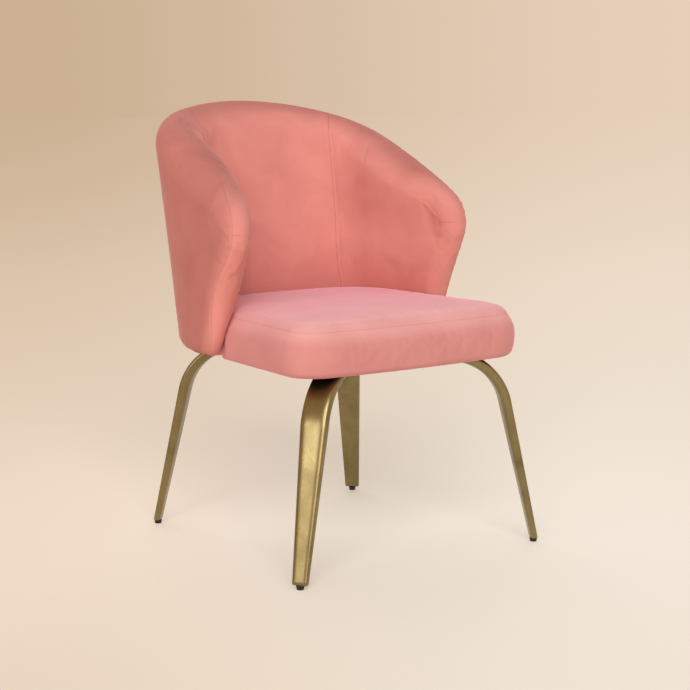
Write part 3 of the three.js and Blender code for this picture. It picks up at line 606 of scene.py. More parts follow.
@dataclass(frozen=True)
class ShellForm:
    """Surface of the padded shell: plan, lean, outline and thickness of padding."""

    half_width: float = 0.276
    back_depth: float = 0.322
    arm_depth: float = 0.300
    back_power: float = 2.784
    arm_power: float = 2.0
    plan_end: float = math.radians(-22.5)
    plan_points: int = 4001
    lean_height: float = 0.600
    back_lean: float = 0.24
    arm_lean: float = 0.017
    bottom: float = 0.362
    top: float = 0.822
    tip_height: float = 0.5913
    tip_reach: float = 0.0755
    tip_radius: float = 0.068
    rim_turn: float = math.radians(57)
    front_turn: float = math.radians(27)
    rim_handle: float = 0.107
    crown_handle: float = 0.224
    front_top_handle: float = 0.058
    front_foot_handle: float = 0.060
    front_foot_sweep: float = 0.024
    foot_setback: float = 0.005
    foot_height: float = 0.040
    foot_corner: float = 0.020
    arc_points: int = 80
    side_points: int = 300
    rim_points: int = 600
    back_pad: float = 0.090
    arm_pad: float = 0.044
    back_foot_pad: float = 0.058
    arm_foot_pad: float = 0.038
    back_swell_start: float = 0.365
    arm_swell_start: float = 0.385
    swell_end: float = 0.522
    arm_taper: Pair = (0.340, 0.611)
    shoulder_pad: float = 0.0235
    shoulder_height: Pair = (0.560, 0.680)
    shoulder_reach: Pair = (0.200, 0.420)
    seam_reach: float = 0.194
    seam_foot_reach: float = 0.254
    centre_share: float = 6 / 32
    wing_density: float = 1.25
    upright_fade: float = 0.3
    low_seam_stations: tuple[float, ...] = (0, 0.45, 0.56, 0.63, 0.70, 0.76, 0.85, 1)
    low_seam_turns: tuple[float, ...] = (6, 14, 40, 72, 82, 78, 62, 64)
    high_seam_stations: Pair = (0.62, 1.05)
    high_seam_turns: Pair = (5, 64)
    high_seam_gain: float = 1.07

    @cached_property
    def plan(self) -> tuple[Array, Array, Array]:
        """Distance, place and heading along half of the plan, from the middle of the back."""
        angle = np.linspace(QUARTER, self.plan_end, self.plan_points)
        back = angle > 0
        depth = np.where(back, self.back_depth, self.arm_depth)
        power = np.where(back, self.back_power, self.arm_power)
        across = np.abs(np.cos(angle) / self.half_width) ** power
        along = np.abs(np.sin(angle) / depth) ** power
        radius = (across + along) ** (-1 / power)
        place = np.stack([radius * np.cos(angle), radius * np.sin(angle)], 1)
        return travelled(place), place, unit(np.gradient(place, axis=0))

    @cached_property
    def arm_reach(self) -> float:
        """Reach along the plan at which the arms start."""
        distance, place, _ = self.plan
        return float(np.interp(0, -place[:, 1], distance))

    def pad_thickness(self, reach: Array, height: Array) -> Array:
        """Thickness of the padded shell at a reach and height."""
        reach = np.abs(reach)
        forward = smooth_share(reach, 0, self.arm_reach)
        foot = mix(self.back_foot_pad, self.arm_foot_pad, forward)
        full = mix(self.back_pad, self.arm_pad, smooth_share(reach, *self.arm_taper))
        start = mix(self.back_swell_start, self.arm_swell_start, forward)
        shoulder = (self.shoulder_pad * smooth_share(height, *self.shoulder_height)
                    * smooth_share(reach, *self.shoulder_reach))
        return mix(foot, full, smooth_share(height, start, self.swell_end)) + shoulder

    def place(self, side: Array, reach: Array, height: Array, depth: Array) -> Array:
        """Point of the shell.

        Args:
            side: -1 on the right and 1 on the left.
            reach: distance along the plan, below 0 on the other side.
            height: height over the floor.
            depth: how far the point is sunk from the outer face.

        Returns:
            The point.
        """
        distance, plan, heading = self.plan
        away = np.clip(np.abs(reach), 0, distance[-1])
        x, y, head_x, head_y = (np.interp(away, distance, values[:, k])
                                for values in (plan, heading) for k in (0, 1))
        length = np.hypot(head_x, head_y)
        lean = mix(self.back_lean, self.arm_lean, smooth_share(away, 0, self.arm_reach))
        shift = lean * (height - self.lean_height) - depth
        flip = np.sign(side * np.where(reach < 0, -1, 1))
        return np.stack([flip * (x - head_y / length * shift),
                         y + head_x / length * shift + PLAN_MIDDLE, height + 0 * x], -1)

    @cached_property
    def outlines(self) -> tuple[Array, Array]:
        """Lower and upper edge of the left half, from the tip of the arm to the middle."""
        tip = np.array([self.arm_reach + self.tip_reach - self.tip_radius, self.tip_height])

        def arc(turn: float) -> Array:
            """The tip's arc from straight ahead to a turn."""
            angle = np.linspace(0, turn, self.arc_points)
            return tip + self.tip_radius * np.stack([np.cos(angle), np.sin(angle)], 1)

        def handle(turn: float, length: float) -> Array:
            """A step along a heading."""
            return length * np.array([math.cos(turn), math.sin(turn)])

        front = arc(-self.front_turn)
        foot_x = self.arm_reach - self.foot_setback
        foot_z = self.bottom + self.foot_height
        corner_x = foot_x - self.front_foot_sweep * self.foot_height / self.front_foot_handle
        down = bezier([front[-1],
                       front[-1] + handle(-self.front_turn - QUARTER, self.front_top_handle),
                       (foot_x + self.front_foot_sweep, foot_z + self.front_foot_handle),
                       (foot_x, foot_z)], self.side_points)
        corner = bezier([(foot_x, foot_z), (corner_x, self.bottom),
                         (corner_x - self.foot_corner, self.bottom)], self.arc_points)
        along = np.linspace(corner[-1], (0, self.bottom), self.side_points)
        lower = np.concatenate([front, down[1:], corner[1:], along[1:]])
        rim = arc(self.rim_turn)
        crown = bezier([rim[-1], rim[-1] + handle(self.rim_turn + QUARTER, self.rim_handle),
                        (self.crown_handle, self.top), (0, self.top)], self.rim_points)
        return lower, np.concatenate([rim, crown[1:]])

    def edge(self, away: Array, outline: Array, seam: float,
             turn: float) -> tuple[Array, Array, Array]:
        """Where the section lines meet an outline.

        Args:
            away: station from 0 in the middle to 1 at the tip.
            outline: path of reach and height.
            seam: reach of the vertical seam on this outline.
            turn: 1 for the upper outline and -1 for the lower one.

        Returns:
            Point, inward direction and radius of the roll, for each station.
        """
        past = np.arange(len(outline)) >= int(np.argmax(outline[:, 0]))
        reach, distance = -outline[past, 0], travelled(outline)[past]
        seam_at = np.interp(-seam, reach, distance)
        wing = np.maximum((1 - away) / (1 - self.centre_share), 0) ** self.wing_density * seam_at
        inner = np.interp(-away / self.centre_share * seam, reach, distance)
        length = np.where(away > self.centre_share, wing, inner)
        point, normal = at_lengths(outline, length)
        inward = normal * turn
        inward[length <= 0] = (-1, 0)
        vertical = np.stack([0 * away, np.where(inward[:, 1] < 0, -1, 1)], -1)
        fade = smooth_share(away, self.centre_share, self.centre_share + self.upright_fade)
        inward = unit(mix(inward, vertical, (1 - fade)[:, None]))
        return point, inward, self.pad_thickness(point[:, 0], point[:, 1]) / 2

    def ridge_angles(self, away: Array) -> tuple[Array, Array]:
        """Angle of the edge seam on the outer side of the lower and the upper roll."""
        low = np.interp(away, self.low_seam_stations, self.low_seam_turns)
        start, end = self.high_seam_turns
        rise = (end - start) * smooth_share(away, *self.high_seam_stations)
        high = np.minimum(start + rise * self.high_seam_gain, end)
        return np.radians(low), np.radians(high)

    def section(self, stations: Array, path: list[tuple[str, Array]]) -> Array:
        """Rows of points across the shell.

        Args:
            stations: from -1 at the right tip to 1 at the left tip.
            path: parts of the section in order: a name, and angles or shares whose rows
                are the stations.

        Returns:
            Points by station and by place along the path.
        """
        away = np.abs(stations)
        side = np.where(stations < 0, -1.0, 1.0)[:, None]
        lower, upper = self.outlines
        ends = {"lower": self.edge(away, lower, self.seam_foot_reach, -1),
                "upper": self.edge(away, upper, self.seam_reach, 1)}
        lows, highs = (point + inward * roll[:, None] for point, inward, roll in ends.values())
        blocks = []
        for name, values in path:
            if name in ends:
                point, inward, roll = (part[:, None] for part in ends[name])
                at = point + inward * (roll - roll * np.cos(values))[..., None]
                turned = np.abs(np.sin(values))
                sunk = roll - roll * turned
                full = mix(2 * roll, self.pad_thickness(at[..., 0], at[..., 1]), turned)
                depth = np.where(values < 0, sunk, full - sunk)
            else:
                at = mix(lows[:, None], highs[:, None], values[..., None])
                full = self.pad_thickness(at[..., 0], at[..., 1])
                depth = 0 * full if name == "outer_face" else full
            blocks.append(self.place(side, at[..., 0], at[..., 1], depth))
        return np.concatenate(blocks, 1)


@dataclass(frozen=True)
class Squeeze:
    """Holds the seat's cloth clear of the padded shell round it."""

    form: ShellForm
    clearance: float = 0.6 * MM
    ahead: float = 0.136
    samples: int = 140
    rounds: int = 2

    def apply(self, piece: Piece) -> None:
        """Pushes every point that would enter the shell's padding out of it, level by level."""
        places = places_of(piece.data)
        near = np.flatnonzero(places[:, 1] > PLAN_MIDDLE - self.ahead)
        for _ in range(self.rounds):
            places[near] = self._pushed(places[near])
        move_to(piece.data, places)

    def _pushed(self, places: Array) -> Array:
        """The points after one push away from the padding's middle line at their height."""
        form = self.form
        height = np.maximum(places[:, 2:], form.bottom + form.foot_height / 2)
        lower, _ = form.outlines
        front = lower[lower[:, 0] > form.arm_reach - form.foot_setback]
        order = np.argsort(front[:, 1])
        end = np.interp(height, front[order, 1], front[order, 0])
        end = end - form.pad_thickness(end, height) / 2
        reach = end * np.linspace(0, 1, self.samples)[None]
        level = height + 0 * reach
        radius = form.pad_thickness(reach, level) / 2
        side = np.where(places[:, :1] < 0, -1.0, 1.0) + 0 * reach
        away = places[:, None, :2] - form.place(side, reach, level, radius)[..., :2]
        gap = np.linalg.norm(away, axis=-1) - radius
        nearest = np.argmin(gap, axis=1)
        row = np.arange(len(places))
        short = np.maximum(self.clearance - gap[row, nearest], 0)
        moved = places.copy()
        moved[:, :2] += unit(away[row, nearest]) * short[:, None]
        return moved


@dataclass
class ShellUpholstery:
    """Velvet of the shell: the outer panel and the three inner ones."""

    form: ShellForm
    cloth: float = 2.6 * MM
    outer_stations: int = 261
    wing_stations: int = 121
    centre_stations: int = 91
    roll_steps: int = 26
    face_steps: int = 34
    wing_crowding: float = 0.85
    outer_crowding: float = 0.9
    inner_crowding: float = 0.7
    edge_seam: SeamStyle = SeamStyle(
        sink=1.7 * MM, width=2.4 * MM, gather=1.7 * MM, wave=17 * MM, reach=7 * MM,
        ridge=1.3 * MM, ridge_place=1 * MM, ridge_width=6.5 * MM)
    quiet_seam: SeamStyle = SeamStyle(sink=0.2 * MM, width=0.8 * MM)
    back_seam: SeamStyle = SeamStyle(
        sink=0.9 * MM, width=1.0 * MM, gather=0.10 * MM, wave=26 * MM, reach=9 * MM,
        ridge=0.25 * MM, ridge_place=1.6 * MM, ridge_width=2.2 * MM)
    strong_low: Pair = (0.50, 0.60)
    strong_high: Pair = (0.62, 0.86)
    # Stations where the arm fronts lose their painted shade
    front_low: Pair = (0.45, 0.60)
    front_high: Pair = (0.62, 0.90)
    hold: Pair = (0.002, 0.013)
    seat_hold: Pair = (0.455, 0.500)
    # How the painted shade fades from the seams on the outer face and along the rim
    outer_fade: Pair = (-0.030, 0.050)
    rim_fade: Pair = (0.012, 0.075)
    merge: float = 0.02 * MM
    fill: float = 0.8

    def build(self) -> None:
        """Builds, dresses and places every panel."""
        centre = self.form.centre_share
        wing = centre + (1 - centre) * crowded(self.wing_stations, self.wing_crowding, False)
        for panel, stations, outward in (
            (Panel.OUTER, np.linspace(-1, 1, self.outer_stations), (0, 1, 0.2)),
            (Panel.INNER_RIGHT, -wing[::-1], (1, 0, 0)),
            (Panel.INNER_CENTRE, centre * (2 * crowded(self.centre_stations) - 1), (0, -1, 0)),
            (Panel.INNER_LEFT, wing, (-1, 0, 0)),
        ):
            self._panel(panel, stations, np.array(outward, float))

    def _path(self, panel: Panel, away: Array) -> list[tuple[str, Array]]:
        """The parts of a panel's section, from the lower edge seam to the upper one."""
        low, high = (angle[:, None] for angle in self.form.ridge_angles(away))
        if panel is Panel.OUTER:
            name, facing = "outer_face", -QUARTER
            share = crowded(self.roll_steps, self.outer_crowding, False)
        else:
            name, facing = "inner_face", QUARTER
            share = crowded(2 * self.roll_steps, self.inner_crowding, False)
        return [("lower", mix(-low, facing, share)),
                (name, np.linspace(0, 1, self.face_steps)[1:-1] + 0 * low),
                ("upper", mix(facing, -high, 1 - share[::-1]))]

    def _relief(self, panel: Panel, stations: Array, points: Array) -> Array:
        """Height of the cloth over the plain form, from its seams."""
        across = run_lengths(points, 1)
        along = run_lengths(points, 0)
        from_tip = np.where(stations[:, None] < 0, along, along[-1:] - along)
        height = 0.0
        for away, run, strong in (
            (across, from_tip[:, :1], self.strong_low),
            (across[:, -1:] - across, from_tip[:, -1:], self.strong_high),
        ):
            height = height + mix(self.quiet_seam.relief(away, run),
                                  self.edge_seam.relief(away, run),
                                  smooth_share(np.abs(stations), *strong)[:, None])
        if panel in (Panel.INNER_LEFT, Panel.INNER_CENTRE):
            height = height + self.back_seam.relief(along, across)
        if panel in (Panel.INNER_RIGHT, Panel.INNER_CENTRE):
            height = height + self.back_seam.relief(along[-1:] - along, across)
        return height

    def _painted_shade(self, panel: Panel, stations: Array, points: Array) -> Array:
        """Painted shade: outside and along the rim, less at the arm fronts."""
        across = run_lengths(points, 1)
        value = 0.0
        for away, front in ((across, self.front_low),
                            (across[:, -1:] - across, self.front_high)):
            at_front = smooth_share(np.abs(stations)[:, None], *front)
            if panel is Panel.OUTER:
                share = at_front * (1 - smooth_share(away, *self.outer_fade))
            else:
                share = (1 - at_front) * (1 - smooth_share(away, *self.rim_fade))
            value = np.maximum(value, share)
        return 1 - value if panel is Panel.OUTER else value

    def _loose(self, panel: Panel, stations: Array, points: Array) -> Array:
        """How freely the cloth may settle: not at its seams nor beside the seat."""
        across = run_lengths(points, 1)
        along = run_lengths(points, 0)
        loose = smooth_share(np.minimum(across, across[:, -1:] - across), *self.hold)
        if panel is not Panel.OUTER:
            loose = loose * smooth_share(points[..., 2], *self.seat_hold)
        for tip, away in ((0, along), (-1, along[-1:] - along)):
            if panel is Panel.INNER_CENTRE or abs(stations[tip]) < 1:
                loose = loose * smooth_share(away, *self.hold)
        return loose

    def _points(self, panel: Panel, stations: Array, outward: Array) -> Array:
        """The grid of points of a panel's face, with the relief of its seams."""
        points = self.form.section(stations, self._path(panel, np.abs(stations)))
        normals = unit(np.cross(np.gradient(points, axis=0), np.gradient(points, axis=1)))
        for tip, beside in ((0, 1), (-1, -2)):
            if abs(stations[tip]) == 1:
                normals[tip] = unit(normals[beside] + normals[beside][::-1])
        if normals[len(stations) // 2, points.shape[1] // 2] @ outward < 0:
            normals = -normals
        return points + normals * self._relief(panel, stations, points)[..., None]

    def _skin(self, points: Array, values: dict[str, Array], outward: Array) -> Mesh:
        """A skin over a grid of points.

        Args:
            points: rows of points of the face that shows.
            values: a value for each point, by the name of its attribute.
            outward: rough outward direction at the middle of the grid.

        Returns:
            The skin, with its faces turned outward.
        """
        rows, columns = points.shape[:2]
        bm = bmesh.new()
        bmesh.ops.create_grid(bm, x_segments=columns - 1, y_segments=rows - 1, size=1)
        layers = [bm.verts.layers.float.new(name) for name in values]
        pairs = zip(*(grid.ravel() for grid in values.values()))
        for vertex, place, pair in zip(bm.verts, points.reshape(-1, 3), pairs):
            vertex.co = place
            for layer, value in zip(layers, pair):
                vertex[layer] = value
        bm.verts.ensure_lookup_table()
        bm.normal_update()
        middle = bm.verts[(rows // 2) * columns + columns // 2]
        if middle.normal.dot(Vector(outward)) < 0:
            bmesh.ops.reverse_faces(bm, faces=bm.faces[:])
        bmesh.ops.remove_doubles(bm, verts=bm.verts[:], dist=self.merge)
        bmesh.ops.dissolve_degenerate(bm, edges=bm.edges[:], dist=self.merge)
        return bm

    def _panel(self, panel: Panel, stations: Array, outward: Array) -> None:
        """Builds one panel of velvet.

        Args:
            panel: which one.
            stations: where its columns stand.
            outward: rough outward direction at its middle.
        """
        points = self._points(panel, stations, outward)
        values = {PAINTED_SHADE: self._painted_shade(panel, stations, points),
                  LOOSE: self._loose(panel, stations, points)}
        piece = new_object(f"shell_velvet_{panel.value}", self._skin(points, values, outward))
        ClothSettling().run(piece)
        Passages().lift(piece)
        thicken(piece, self.cloth)
        nodes = [f"shell_cover_{panel.value}"]
        if panel is Panel.OUTER:
            nodes.append("shell_foam")
        hand_over(piece, VELVET.material(), CHAIR_BODY, nodes)


# The seat


@dataclass
class SeatUpholstery:
    """The boxed seat: a crowned top panel sewn to a soft side band."""

    half_width: float = 0.2495
    rear_half_width: float = 0.234
    front_depth: float = 0.265
    front_bow: float = 0.008
    corner_radius: float = 0.062
    rear_depth: float = 0.212
    rear_handle: float = 0.178
    side_start: float = 0.030
    side_handle: float = 0.128
    arc_share: float = 0.5523
    bottom: float = 0.355
    seam_height: float = 0.435
    edge_share: float = 0.17
    edge_rings: int = 44
    middle_share: float = 0.03
    middle_rings: int = 24
    edge_rise: float = 0.0125
    edge_run: float = 0.0065
    crown: float = 0.0125
    top_roll: float = 0.009
    top_roll_height: float = 0.036
    band_rings: int = 56
    band_crowding: float = 0.6
    bulge: float = 0.005
    lower_roll: float = 0.012
    lip: float = 0.024
    lip_shares: tuple[float, ...] = (0.5, 1.0)
    recess: float = 0.019
    recess_shares: tuple[float, ...] = (0.3, 0.65, 0.985)
    cloth: float = 2.4 * MM
    seam_gap: float = 0.08 * MM
    hold: Pair = (0.003, 0.024)
    front_free: Pair = (0.16, 0.24)
    # Painted shade: how fast it fades from the top seam, and its share at the seam
    painted_shade_fade: float = 0.028
    painted_shade_at_seam: float = 0.5
    curve_points: int = 400
    side_points: int = 200
    outline_points: int = 300
    seam: SeamStyle = SeamStyle(sink=0.35 * MM, width=1.0 * MM, gather=0.3 * MM,
                                wave=31 * MM, reach=16 * MM)
    join: SeamStyle = SeamStyle(sink=0.9 * MM, width=1.6 * MM)
    join_place: float = 0.6
    settling: ClothSettling = ClothSettling(frames=20, cap=3 * MM, spare=0.010, quality=4)
    fill: float = 0.75

    @cached_property
    def outline(self) -> tuple[Array, Array]:
        """Evenly spaced points and outward normals round the seat."""
        corner = np.array([self.half_width - self.corner_radius,
                           self.front_bow - self.front_depth])
        side_end = np.array([self.half_width, corner[1] + self.corner_radius])
        side_start = np.array([self.rear_half_width, self.side_start])
        lead = unit(side_start - side_end)
        bow = np.array([corner[0] / 2, -self.front_depth])
        reach = self.arc_share * self.corner_radius
        half = np.concatenate([
            bezier([(0, self.rear_depth), (self.rear_handle, self.rear_depth),
                    side_start + lead * self.side_handle, side_start], self.curve_points)[:-1],
            np.linspace(side_start, side_end, self.side_points)[:-1],
            bezier([side_end, side_end - lead * reach, corner + unit(corner - bow) * reach,
                    corner], self.side_points)[:-1],
            bezier([corner, bow, (0, -self.front_depth)], self.side_points),
        ])
        loop = np.concatenate([half, half[-2::-1] * (-1, 1)])
        shares = np.arange(self.outline_points) / self.outline_points
        return at_lengths(loop, shares * travelled(loop)[-1])

    @cached_property
    def along(self) -> Array:
        """Distance round the seat of each point of the outline."""
        return travelled(self.outline[0])

    def ring(self, inset: Array, height: Array, share: float = 1.0) -> Array:
        """A ring at an inset and height, drawn in to a share of its size."""
        point, normal = self.outline
        flat = (point - normal * np.reshape(inset, (-1, 1))) * share
        level = np.broadcast_to(height, (len(flat),))
        return np.column_stack([flat[:, 0], flat[:, 1] + PLAN_MIDDLE, level])

    def build(self) -> None:
        """Builds the top panel and the side band."""
        self._top()
        self._band()

    def _skin(self, rings: list[Array], painted_shade: Array, held: Array,
              front_only: bool) -> tuple[Mesh, list[bmesh.types.BMVert]]:
        """A lofted skin with its attributes.

        Args:
            rings: places of the points, ring by ring.
            painted_shade: how much painted shade each ring takes.
            held: how freely each ring may settle.
            front_only: whether it settles at the front alone.

        Returns:
            The mesh and the vertices of its last ring.
        """
        bm = bmesh.new()
        painted_shade_layer, loose_layer = (bm.verts.layers.float.new(name) for name in (PAINTED_SHADE, LOOSE))
        drawn = loft(bm, np.array(rings))
        for ring, at, free in zip(drawn, painted_shade, held):
            for vertex in ring:
                front = smooth_share(-vertex.co.y, *self.front_free) if front_only else 1
                vertex[painted_shade_layer] = at
                vertex[loose_layer] = free * front
        return bm, drawn[-1]

    def _finish(self, name: str, bm: Mesh, nodes: list[str]) -> None:
        """Settles, thickens, dresses and places one piece of the seat."""
        in_order(bm)
        bm.normal_update()
        if sum(face.normal.dot(face.calc_center_median() - Vector((0, 0, self.bottom)))
               for face in bm.faces) < 0:
            bmesh.ops.reverse_faces(bm, faces=bm.faces[:])
        piece = new_object(name, bm)
        self.settling.run(piece)
        Squeeze(ShellForm()).apply(piece)
        Passages().lift(piece)
        thicken(piece, self.cloth)
        # The seat wears the velvet copy with painted sheen
        hand_over(piece, VELVET_PAINTED_SHEEN.material(), CHAIR_BODY, nodes)

    def _top(self) -> None:
        """The crowned top panel, closed at its middle."""
        edge = 1 - self.edge_share * crowded(self.edge_rings, both=False)
        middle = np.linspace(edge[-1], self.middle_share, self.middle_rings)[1:]
        shares = np.concatenate([edge, middle])
        inset = (1 - shares) * self.half_width
        heights = (self.edge_rise * (1 - np.exp(-inset / self.edge_run))
                   + self.crown * (1 - shares ** 2))
        away = travelled(np.column_stack([inset, heights]))
        rings = []
        for share, height, distance in zip(shares, heights, away):
            relief = self.seam.relief(distance, self.along)
            lift = 1 - math.exp(-distance / self.edge_run)
            rings.append(self.ring(self.top_roll - relief * (1 - lift),
                                   self.seam_height + self.seam_gap + height + relief * lift,
                                   share))
        # Painted shade: half strength at the seam, gone a short way in from it
        painted_shade = self.painted_shade_at_seam * (1 - smooth_share(away, 0, self.painted_shade_fade))
        bm, last = self._skin(rings, painted_shade, smooth_share(away, *self.hold), False)
        last = set(last)
        bmesh.ops.contextual_create(bm, geom=[edge for edge in bm.edges
                                              if last.issuperset(edge.verts)])
        bmesh.ops.poke(bm, faces=[face for face in bm.faces if len(face.verts) > 4])
        self._finish("seat_velvet_top", bm, ["seat_cover_top", "seat_foam"])

    def _band(self) -> None:
        """The side band, rolled under to the lip and up to the board."""
        top = self.seam_height - self.seam_gap
        rings = []
        for share in crowded(self.band_rings, self.band_crowding)[::-1]:
            height = mix(self.bottom, top, share)
            over = min((height - self.bottom) / self.lower_roll, 1)
            near_top = max(0.0, 1 - (top - height) / self.top_roll_height)
            tuck = (self.lower_roll * (1 - math.sqrt(1 - (1 - over) ** 2))
                    + self.top_roll * near_top ** 2)
            relief = (self.seam.relief(top - height, self.along)
                      + self.join.relief(np.abs(self.along - self.join_place), 0))
            rings.append(self.ring(tuck - self.bulge * math.sin(math.pi * share) - relief,
                                   height))
        rings += [self.ring(mix(self.lower_roll, self.lip, share), self.bottom)
                  for share in self.lip_shares]
        rings += [self.ring(self.lip, self.bottom + self.recess * share)
                  for share in self.recess_shares]
        heights = np.array([ring[0, 2] for ring in rings])
        down = top - heights
        held = smooth_share(down, *self.hold) * smooth_share(heights - self.bottom, *self.hold)
        # Painted shade: half strength at the seam, full a short way below it
        painted_shade = mix(self.painted_shade_at_seam, 1, smooth_share(down, 0, self.painted_shade_fade))
        bm, _ = self._skin(rings, painted_shade, held, True)
        self._finish("seat_velvet_band", bm, ["seat_cover_boxing"])


# Legs and feet


@dataclass
class LegSet:
    """Four bent, tapered tubes of flat oval section."""

    front_foot: Pair = (0.2678, -0.2681)
    rear_foot: Pair = (0.2375, 0.2681)
    front_angle: float = -29.8
    rear_angle: float = 44.5
    tilt: float = math.radians(12.65)
    bend_radius: float = 0.112
    tube_run: float = 0.090
    top_size: Pair = (0.050, 0.020)
    foot_size: Pair = (0.029, 0.0135)
    wall: float = 0.002
    power: float = 4.2
    axis_height: float = 0.3595
    bottom: float = 0.0083
    level_height: float = 0.005
    rim_height: float = 0.0012
    end_chamfer: float = 0.001
    section_points: int = 72
    bend_steps: int = 36
    straight_steps: int = 18
    bore_step: int = 3

    def stations(self) -> list[tuple[float, ...]]:
        """Place, height, turn, narrowing and chamfer of each section along the tube."""
        turn = QUARTER - self.tilt
        slope = math.tan(self.tilt)
        drop = self.axis_height - self.bend_radius * (1 - math.cos(turn)) - self.bottom
        bend_start = -drop * slope - self.bend_radius * math.sin(turn)
        rows = [(bend_start - self.tube_run, self.axis_height, 0.0, 0.0, 0.0)]
        for at in np.linspace(0, turn, self.bend_steps + 1):
            rows.append((bend_start + self.bend_radius * math.sin(at),
                         self.axis_height - self.bend_radius * (1 - math.cos(at)), at, 0.0, 0.0))
        for share in np.linspace(0, 1, self.straight_steps + 1)[1:]:
            rise = mix(drop, self.level_height, share)
            rows.append((-rise * slope, self.bottom + rise, turn, share, 0.0))
        rows.append((-self.rim_height * slope, self.bottom + self.rim_height, QUARTER, 1.0, 0.0))
        rows.append((0.0, self.bottom, QUARTER, 1.0, self.end_chamfer))
        return rows

    def section(self, row: tuple[float, ...], inset: float) -> Array:
        """Ring of points round the tube at one section."""
        x, z, turn, narrowing, chamfer = row
        width, depth = (mix(top, foot, narrowing) / 2 - (inset or chamfer)
                        for top, foot in zip(self.top_size, self.foot_size))
        angle = 2 * math.pi * (np.arange(self.section_points) + 0.5) / self.section_points
        radius = (np.abs(np.cos(angle)) ** self.power
                  + np.abs(np.sin(angle)) ** self.power) ** (-1 / self.power)
        out = depth * radius * np.sin(angle)
        return np.column_stack([x + out * math.sin(turn), width * radius * np.cos(angle),
                                z + out * math.cos(turn)])

    def corner(self, side: Side) -> Matrix:
        """Turn and move from the leg's own frame to its corner."""
        front = side in (Side.FRONT_LEFT, Side.FRONT_RIGHT)
        x, y = self.front_foot if front else self.rear_foot
        angle = self.front_angle if front else self.rear_angle
        if side in (Side.FRONT_RIGHT, Side.REAR_RIGHT):
            x, angle = -x, 180 - angle
        return (Matrix.Translation((x, y + PLAN_MIDDLE, 0))
                @ Matrix.Rotation(math.radians(angle), 4, "Z"))

    def build(self) -> None:
        """Builds the four legs, each with an outer skin, a bore and closed rims."""
        rows = self.stations()
        outside = [self.section(row, 0) for row in rows]
        inside = [self.section(row, self.wall) for row in rows[:-1:self.bore_step] + [rows[-1]]]
        for side in Side:
            bm = bmesh.new()
            loft(bm, np.array(outside + inside[::-1]))
            bmesh.ops.bridge_loops(bm, edges=[edge for edge in bm.edges if edge.is_boundary])
            bmesh.ops.transform(bm, matrix=self.corner(side), verts=bm.verts[:])
            bmesh.ops.recalc_face_normals(bm, faces=bm.faces[:])
            piece = new_object(f"brass_leg_{side.value}", bm)
            hand_over(piece, BRASS.material(), CHAIR_BODY, [f"leg_{side.value}"])


@dataclass
class GlideSet:
    """Four turned nylon feet that screw out of the legs."""

    legs: LegSet
    floor_radius: float = 6.2 * MM
    top_radius: float = 7.5 * MM
    height: float = 8 * MM
    edge: float = 0.8 * MM
    edge_steps: int = 4
    socket_radius: float = 2.4 * MM
    socket_floor: float = 4.4 * MM
    turn_steps: int = 48
    merge: float = 0.01 * MM
    sharp_turn: float = math.radians(40)

    def build(self) -> None:
        """Builds the four feet, each spun from its half profile."""
        profile = [(0, 0), (self.floor_radius, 0), (self.top_radius, self.height),
                   (self.socket_radius, self.height), (self.socket_radius, self.socket_floor),
                   (0, self.socket_floor)]
        for side in Side:
            bm = bmesh.new()
            points = [bm.verts.new((radius, 0, height)) for radius, height in profile]
            for pair in zip(points, points[1:]):
                bm.edges.new(pair)
            bmesh.ops.bevel(bm, geom=points[1:3], offset=self.edge, segments=self.edge_steps,
                            profile=0.5, affect="VERTICES", material=-1)
            bmesh.ops.spin(bm, geom=bm.verts[:] + bm.edges[:], cent=(0, 0, 0), axis=(0, 0, 1),
                           angle=2 * math.pi, steps=self.turn_steps, use_merge=True)
            bmesh.ops.remove_doubles(bm, verts=bm.verts[:], dist=self.merge)
            bmesh.ops.transform(bm, matrix=self.legs.corner(side), verts=bm.verts[:])
            bmesh.ops.recalc_face_normals(bm, faces=bm.faces[:])
            piece = new_object(f"nylon_foot_{side.value}", bm)
            piece.data.set_sharp_from_angle(angle=self.sharp_turn)
            hand_over(piece, NYLON.material(), f"glide_{side.value}",
                      [f"glide_pad_{side.value}"])


# Carried-over parts


@dataclass
class HiddenWorks:
    """The CAD parts under the velvet, which keep their shape and get a finish."""

    finishes: tuple[tuple[str, Finish], ...] = (
        ("shell_plywood", PLYWOOD), ("seat_board", PLYWOOD), ("seat_dust_cover", DUST_CLOTH),
        ("leg_plate_", BLACK_STEEL), ("leg_plug_", NYLON), ("leg_bolt_", ZINC_STEEL),
        ("leg_tee_nut_", ZINC_STEEL), ("glide_stem_", ZINC_STEEL),
        ("shell_bracket_", ZINC_STEEL),
    )

    def build(self, nodes: dict[str, Piece]) -> None:
        """Gives each shown CAD node the finish of its kind."""
        for name, piece in sorted(nodes.items()):
            for start, finish in self.finishes:
                if name.startswith(start):
                    dress(piece, finish.material())
                    LOG.info("%s: %s", name, finish.name)


# Studio


@dataclass(frozen=True)
class Lamp:
    """A broad, distant lamp, with its turn and softness in degrees."""

    name: str
    turn: Triple
    strength: float
    softness: float

    def hang(self) -> None:
        """Puts the lamp into the scene."""
        lamp = bpy.data.lights.new(self.name, "SUN")
        lamp.energy = self.strength
        lamp.angle = math.radians(self.softness)
        in_scene(self.name, lamp).rotation_euler = [math.radians(angle) for angle in self.turn]


